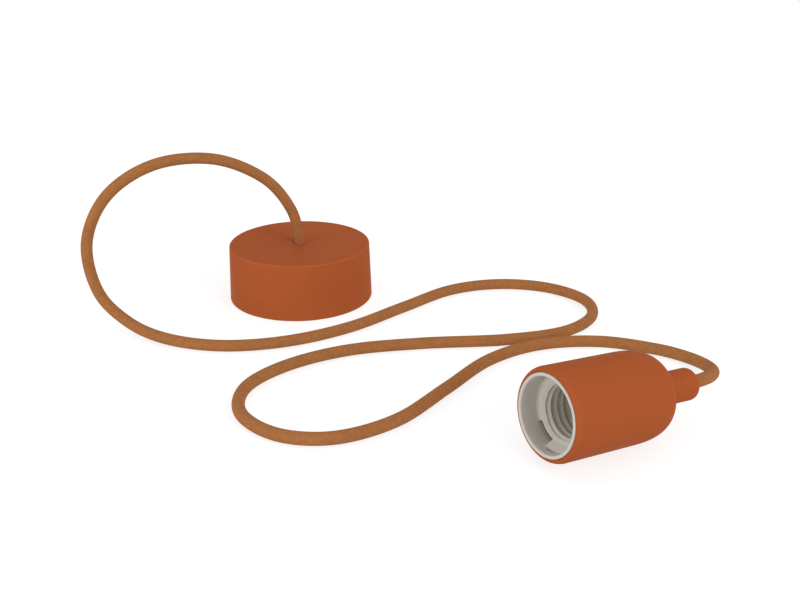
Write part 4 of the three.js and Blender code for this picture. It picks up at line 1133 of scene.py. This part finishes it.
def slotted_screw():
    """A Geometry Nodes tree that puts a slotted screw with its thread on every point."""
    rings_in_pitch, thread_depth = 8.0, 0.07
    head_rounding, rounding_power, slot_length, slot_width = 0.1, 6.0, 3.0, 0.35
    sockets = [(label, "Float") for label in SCREW_SIZES] + [("Material", "Material")]
    group = new_node_group("Slotted Screw", sockets)
    tree = Tree(group)
    given = tree.add("NodeGroupInput").outputs
    shank_radius, shank_length, head_radius, head_height, pitch = (given[n] for n in SCREW_SIZES)

    def lifted(mesh, height):
        along = tree.add("ShaderNodeCombineXYZ", {"Z": height}).outputs[0]
        inputs = {"Geometry": mesh, "Translation": along}
        return tree.add("GeometryNodeTransform", inputs).outputs[0]

    def narrowed(mesh, share):
        """Every point of a mesh moved towards its axis by a share."""
        at = tree.add("ShaderNodeSeparateXYZ", {"Vector": place}).outputs
        inputs = {
            "X": tree.math("MULTIPLY", at["X"], share),
            "Y": tree.math("MULTIPLY", at["Y"], share),
            "Z": at["Z"],
        }
        moved = tree.add("ShaderNodeCombineXYZ", inputs).outputs[0]
        inputs = {"Geometry": mesh, "Position": moved}
        return tree.add("GeometryNodeSetPosition", inputs).outputs[0]

    def cylinder(sides, rings, radius, depth):
        inputs = {"Vertices": sides, "Side Segments": rings, "Radius": radius, "Depth": depth}
        return tree.add("GeometryNodeMeshCylinder", inputs).outputs["Mesh"]

    place = tree.add("GeometryNodeInputPosition").outputs[0]
    at = tree.add("ShaderNodeSeparateXYZ", {"Vector": place}).outputs
    half_head = tree.math("MULTIPLY", head_height, 0.5)
    whole = tree.math("ADD", shank_length, half_head)
    turns = tree.math("DIVIDE", whole, pitch)
    rings = tree.math("CEIL", tree.math("MULTIPLY", turns, rings_in_pitch))
    turn = tree.math("ARCTAN2", at["Y"], at["X"])
    phase = tree.math("MULTIPLY", tree.math("DIVIDE", at["Z"], pitch), 2 * math.pi)
    wave = tree.math("COSINE", tree.math("SUBTRACT", phase, turn))
    groove = tree.math("MULTIPLY_ADD", wave, thread_depth, 1 - thread_depth)
    thread = narrowed(cylinder(24, rings, shank_radius, whole), groove)
    shank_middle = tree.math("MULTIPLY", tree.math("SUBTRACT", half_head, shank_length), 0.5)
    rise = tree.math("DIVIDE", at["Z"], half_head)
    edge = tree.math("POWER", tree.math("MAXIMUM", rise, 0.0), rounding_power)
    crown = tree.math("MULTIPLY_ADD", edge, -head_rounding, 1.0)
    head = narrowed(cylinder(48, 10, head_radius, head_height), crown)
    inputs = {"Mesh 2": lifted(thread, shank_middle)}
    joined = tree.add("GeometryNodeMeshBoolean", inputs, operation="UNION")
    tree.tree.links.new(lifted(head, half_head), joined.inputs["Mesh 2"])
    inputs = {
        "X": tree.math("MULTIPLY", head_radius, slot_length),
        "Y": tree.math("MULTIPLY", head_radius, slot_width),
        "Z": head_height,
    }
    slot_size = tree.add("ShaderNodeCombineXYZ", inputs).outputs[0]
    slot = tree.add("GeometryNodeMeshCube", {"Size": slot_size}).outputs["Mesh"]
    inputs = {"Mesh 1": joined.outputs[0], "Mesh 2": lifted(slot, head_height)}
    cut_out = tree.add("GeometryNodeMeshBoolean", inputs, operation="DIFFERENCE")
    inputs = {"Points": given["Geometry"], "Instance": cut_out.outputs[0]}
    copies = tree.add("GeometryNodeInstanceOnPoints", inputs)
    tree.end(copies.outputs[0], given["Material"])
    return group


def screw_set(name, design, sizes, places, nodes, place=None):
    """Like screws at the places of their seats, all one way, with their sizes in millimetres."""
    values = {label: size * MM for label, size in zip(SCREW_SIZES, sizes)}
    values["Material"] = finish_of("zinc_steel")
    screws = run_nodes(mesh_object(name, places, []), design, values, place)
    face_outwards(screws)
    shade(screws)
    dress(screws, "zinc_steel", *nodes)


class CORDSET_OT_screws(bpy.types.Operator):
    """Builds the slotted screws in the rose and in the holder"""

    bl_idname = "cordset.screws"
    bl_label = "Slotted Screws"

    def execute(self, context):
        design = slotted_screw()
        strap_seat, block_seat, clamp_seat = 7.8 * MM, 8 * MM, 9.9 * MM
        pole, clamp_half = 4.8 * MM, 4 * MM
        strap_places = [(side * STRAP_SCREW_PLACE, 0, strap_seat) for side in (-1, 1)]
        clamp_places = [
            (x, BLOCK_PLACE + y, clamp_seat) for x in (-pole, pole) for y in (-clamp_half, clamp_half)
        ]
        clamp_nodes = [f"block_clamp_screw_{number}" for number in (1, 2, 3, 4)]
        strap_nodes = ["strap_screw_1", "strap_screw_2"]
        screw_set("strap_screws", design, (1.5, 4.8, 3.1, 2.1, 0.5), strap_places, strap_nodes)
        screw_set("clamping_screws", design, (1.2, 1.2, 1.7, 2.2, 0.4), clamp_places, clamp_nodes)
        block_places = [(0, BLOCK_PLACE, block_seat)]
        screw_set("block_fixing_screw", design, (1.4, 6.8, 2.6, 1.7, 0.5), block_places, ["block_screw"])
        contact_seat, contact_along = 3.8 * MM, 43.2 * MM
        across = holder_place(context.scene.cordset_holder) @ Matrix.Rotation(-math.pi / 2, 4, "X")
        contact_places = [(x, -contact_along, contact_seat) for x in CONTACT_TERMINALS]
        contact_nodes = ["centre_screw", "side_screw"]
        sizes = (1.2, 2.4, 2, 1.6, 0.4)
        screw_set("contact_screws", design, sizes, contact_places, contact_nodes, across)
        return {"FINISHED"}


# Cores

CORE_SPREAD = 1.4 * MM


def core_sweep():
    """A Geometry Nodes tree that sweeps a round core along a curve."""
    group = new_node_group("Insulated Core", [("Radius", "Float"), ("Material", "Material")])
    tree = Tree(group)
    given = tree.add("NodeGroupInput").outputs
    inputs = {"Curve": given["Geometry"], "Length": 0.5 * MM}
    way = tree.add("GeometryNodeResampleCurve", inputs, mode="LENGTH")
    inputs = {"Resolution": 24, "Radius": given["Radius"]}
    section = tree.add("GeometryNodeCurvePrimitiveCircle", inputs)
    inputs = {"Curve": way.outputs[0], "Profile Curve": section.outputs[0], "Fill Caps": True}
    swept = tree.add("GeometryNodeCurveToMesh", inputs)
    tree.end(swept.outputs[0], given["Material"])
    return group


def rose_core_points(side):
    """The way of a core from the end of the cord, under the strap and up into the terminal block."""
    pole = side * 4.8 * MM
    return [
        (side * CORE_SPREAD, 0, CORD_ROUTE[0][2] - FIT),
        (side * CORE_SPREAD, 0, 8.8 * MM),
        (side * CORE_SPREAD, 1.1 * MM, 6.3 * MM),
        (side * 2 * CORE_SPREAD, 4.4 * MM, 5.2 * MM),
        (pole, 8.5 * MM, 6.75 * MM),
        (pole, 11.5 * MM, 7.3 * MM),
        (pole, 17.5 * MM, 7.3 * MM),
    ]


def holder_core_points(holder, terminal):
    """The way of a core from the end of the cord to a contact's terminal, along the holder."""
    side = math.copysign(1, terminal)
    cord_end = (CORD_ROUTE[-1][0] - holder.mouth[0]) / math.cos(holder.tilt)
    belly, terminal_back = 6 * MM, 46.6 * MM
    return [
        (side * CORE_SPREAD, 0, cord_end - 0.6 * MM),
        (side * 1.5 * CORE_SPREAD, 0, cord_end - 5 * MM),
        (side * belly, 0, (cord_end + terminal_back) / 2),
        (terminal, 0, terminal_back + 3 * MM),
        (terminal, 0, terminal_back - 5.7 * MM),
    ]


class CORDSET_OT_cores(bpy.types.Operator):
    """Builds the insulated cores between the cord and the terminals"""

    bl_idname = "cordset.cores"
    bl_label = "Insulated Cores"

    def execute(self, context):
        holder = context.scene.cordset_holder
        place = holder_place(holder)
        design = core_sweep()
        colours = ("brown", "blue")
        ways = [("rose", c, rose_core_points(side), None) for c, side in zip(colours, (-1, 1))]
        ways += [
            ("holder", c, holder_core_points(holder, terminal), place)
            for c, terminal in zip(colours, CONTACT_TERMINALS)
        ]
        for where, tint, points, turn in ways:
            slot = f"{tint}_core"
            values = {"Radius": 1.1 * MM, "Material": finish_of(slot)}
            curve = route_curve(f"{tint}_core_in_{where}", points)
            core = run_nodes(curve, design, values, turn)
            face_outwards(core)
            core.data.shade_smooth()
            dress(core, slot, f"{where}_core_{tint}")
        return {"FINISHED"}


# Small fittings

# Piece, CAD node, material slot and round of the edges in millimetres
FITTINGS = (
    ("folded_strap", "hanger_strap", "zinc_steel", 0.2),
    ("cord_grip", "grip_nipple", "clear_polyamide", 0.25),
    ("lock_nut", "grip_nut", "zinc_steel", 0.3),
    ("grip_set_screw", "grip_screw", "clear_polyamide", 0.15),
    ("block_moulding", "terminal_block", "clear_polyamide", 0.3),
    ("live_tube", "block_tube_live", "brass", 0.1),
    ("neutral_tube", "block_tube_neutral", "brass", 0.1),
    ("hub_set_screw", "hub_screw", "zinc_steel", 0.1),
    ("insulator_disc", "contact_insert", "liner_plastic", 0.2),
    ("centre_spring", "centre_contact", "brass", 0.12),
    ("side_spring", "side_contact", "brass", 0.12),
    ("centre_clamp", "centre_terminal", "brass", 0.2),
    ("side_clamp", "side_terminal", "brass", 0.2),
)


def fitting_mesh(name, node):
    """A copy of a CAD node as an object of its own, with its flats in one face each."""
    work = bmesh.new()
    work.from_mesh(frame["nodes"][node].data)
    bmesh.ops.remove_doubles(work, verts=work.verts, dist=1e-6)
    bmesh.ops.dissolve_limit(
        work, angle_limit=math.radians(1), verts=work.verts[:], edges=work.edges[:]
    )
    result = mesh_object(name, [], [])
    work.to_mesh(result.data)
    work.free()
    return result


class CORDSET_OT_fittings(bpy.types.Operator):
    """Rounds the edges of the small fittings and gives them their materials"""

    bl_idname = "cordset.fittings"
    bl_label = "Small Fittings"

    def execute(self, context):
        for name, node, slot, width in FITTINGS:
            fitting = fitting_mesh(name, node)
            round_edges(fitting, width * MM)
            dress(fitting, slot, node)
        return {"FINISHED"}


# Camera, lamps, surroundings and floor


def make_camera(stage):
    data = bpy.data.cameras.new("camera")
    data.sensor_width = 36
    data.lens = stage.lens
    data.clip_start = 0.01
    camera = bpy.data.objects.new("camera", data)
    camera.location = stage.eye
    camera.rotation_euler = (math.pi / 2 - stage.pitch, 0, -stage.turn)
    bpy.context.scene.collection.objects.link(camera)
    bpy.context.scene.camera = camera


def make_lamp(name, target, power, size, turn, rise, distance):
    """A square lamp that looks at a point from a turn and a rise in degrees."""
    data = bpy.data.lights.new(name, "AREA")
    data.energy, data.size = power, size
    turn, rise = math.radians(turn), math.radians(rise)
    away = Vector((math.sin(turn) * math.cos(rise), -math.cos(turn) * math.cos(rise), math.sin(rise)))
    lamp = bpy.data.objects.new(name, data)
    lamp.location = target + away * distance
    lamp.rotation_euler = away.to_track_quat("Z", "Y").to_euler()
    bpy.context.scene.collection.objects.link(lamp)


def make_surroundings(strength):
    """Even light all round, and plain white where the camera, gloss or glass looks past the object."""
    world = bpy.data.worlds.new("surroundings")
    bpy.context.scene.world = world
    world.use_nodes = True
    tree = Tree(world.node_tree)
    tree.tree.nodes.clear()
    seen = seen_directly(tree)
    lit = tree.math("ADD", tree.math("MULTIPLY", seen, 1 - strength), strength)
    background = tree.add("ShaderNodeBackground", {"Color": (1, 1, 1, 1), "Strength": lit})
    tree.add("ShaderNodeOutputWorld", {"Surface": background.outputs[0]})


def seen_directly(tree):
    """1 for camera, gloss and glass rays, and 0 for the light that falls on things."""
    path = tree.add("ShaderNodeLightPath").outputs
    either = tree.math("MAXIMUM", path["Is Camera Ray"], path["Is Glossy Ray"])
    return tree.math("MAXIMUM", either, path["Is Transmission Ray"])


def make_floor(shadow, brightness):
    """A pale floor that shows a soft shadow from above and nothing from below."""
    half, under = 3.0, 0.3 * MM
    corners = [(x, y, -under) for x, y in rectangle(2 * half, 2 * half)]
    floor = mesh_object("pale_floor", corners, [(0, 1, 2, 3)])
    material = bpy.data.materials.new("pale_floor")
    material.use_nodes = True
    tree = Tree(material.node_tree)
    tree.tree.nodes.clear()
    lit = tree.add("ShaderNodeBsdfDiffuse", {"Color": (1, 1, 1, 1)})
    glow = tree.add("ShaderNodeEmission", {"Color": (1, 1, 1, 1), "Strength": brightness})
    pale = tree.add("ShaderNodeMixShader", {0: shadow, 1: glow.outputs[0], 2: lit.outputs[0]})
    behind = tree.add("ShaderNodeNewGeometry").outputs["Backfacing"]
    shown = tree.math("MULTIPLY", seen_directly(tree), tree.math("SUBTRACT", 1.0, behind))
    clear = tree.add("ShaderNodeBsdfTransparent")
    mixed = tree.add("ShaderNodeMixShader", {0: shown, 1: clear.outputs[0], 2: pale.outputs[0]})
    tree.add("ShaderNodeOutputMaterial", {"Surface": mixed.outputs[0]})
    floor.data.materials.append(material)


class CORDSET_OT_stage(bpy.types.Operator):
    """Sets up the camera, the lamps, the surroundings and the floor"""

    bl_idname = "cordset.stage"
    bl_label = "Stage"

    def execute(self, context):
        stage = context.scene.cordset_stage
        context.scene.view_settings.view_transform = "Standard"
        middle = (cad_box[0] + cad_box[1]) / 2
        make_camera(stage)
        make_lamp("key_lamp", middle, stage.key, size=0.8, turn=-92, rise=8, distance=1.6)
        make_lamp("fill_lamp", middle, stage.fill, size=1.2, turn=12, rise=27, distance=2.4)
        make_surroundings(stage.surround)
        make_floor(stage.shadow, stage.glow)
        return {"FINISHED"}


# Sidebar, registration and the run

STEPS = (
    CORDSET_OT_stage,
    CORDSET_OT_cord,
    CORDSET_OT_rose,
    CORDSET_OT_plate,
    CORDSET_OT_sleeve,
    CORDSET_OT_liner,
    CORDSET_OT_dome,
    CORDSET_OT_screws,
    CORDSET_OT_cores,
    CORDSET_OT_fittings,
)
GROUPS = {
    "cordset_finish": CORDSET_PG_finish,
    "cordset_cord": CORDSET_PG_cord,
    "cordset_rose": CORDSET_PG_rose,
    "cordset_holder": CORDSET_PG_holder,
    "cordset_stage": CORDSET_PG_stage,
}


class CORDSET_PT_sidebar(bpy.types.Panel):
    """Lists the steps and settings of the cord set"""

    bl_idname = "CORDSET_PT_sidebar"
    bl_label = "Pendant Cord Set"
    bl_space_type = "VIEW_3D"
    bl_region_type = "UI"
    bl_category = "Cord Set"

    def draw(self, context):
        for step in STEPS:
            self.layout.operator(step.bl_idname)
        for key, group in GROUPS.items():
            box = self.layout.box()
            for label in group.__annotations__:
                box.prop(getattr(context.scene, key), label)


def register():
    for group in (*GROUPS.values(), *STEPS, CORDSET_PT_sidebar):
        bpy.utils.register_class(group)
    for key, group in GROUPS.items():
        setattr(bpy.types.Scene, key, PointerProperty(type=group))


def unregister():
    for key in GROUPS:
        delattr(bpy.types.Scene, key)
    for group in (CORDSET_PT_sidebar, *reversed(STEPS), *reversed(GROUPS.values())):
        bpy.utils.unregister_class(group)


def main():
    register()
    bpy.ops.cordset.stage()
    bpy.ops.cordset.cord()
    bpy.ops.cordset.rose()
    bpy.ops.cordset.plate()
    bpy.ops.cordset.sleeve()
    bpy.ops.cordset.liner()
    bpy.ops.cordset.dome()
    bpy.ops.cordset.screws()
    bpy.ops.cordset.cores()
    bpy.ops.cordset.fittings()


if __name__ == "__main__":
    main()
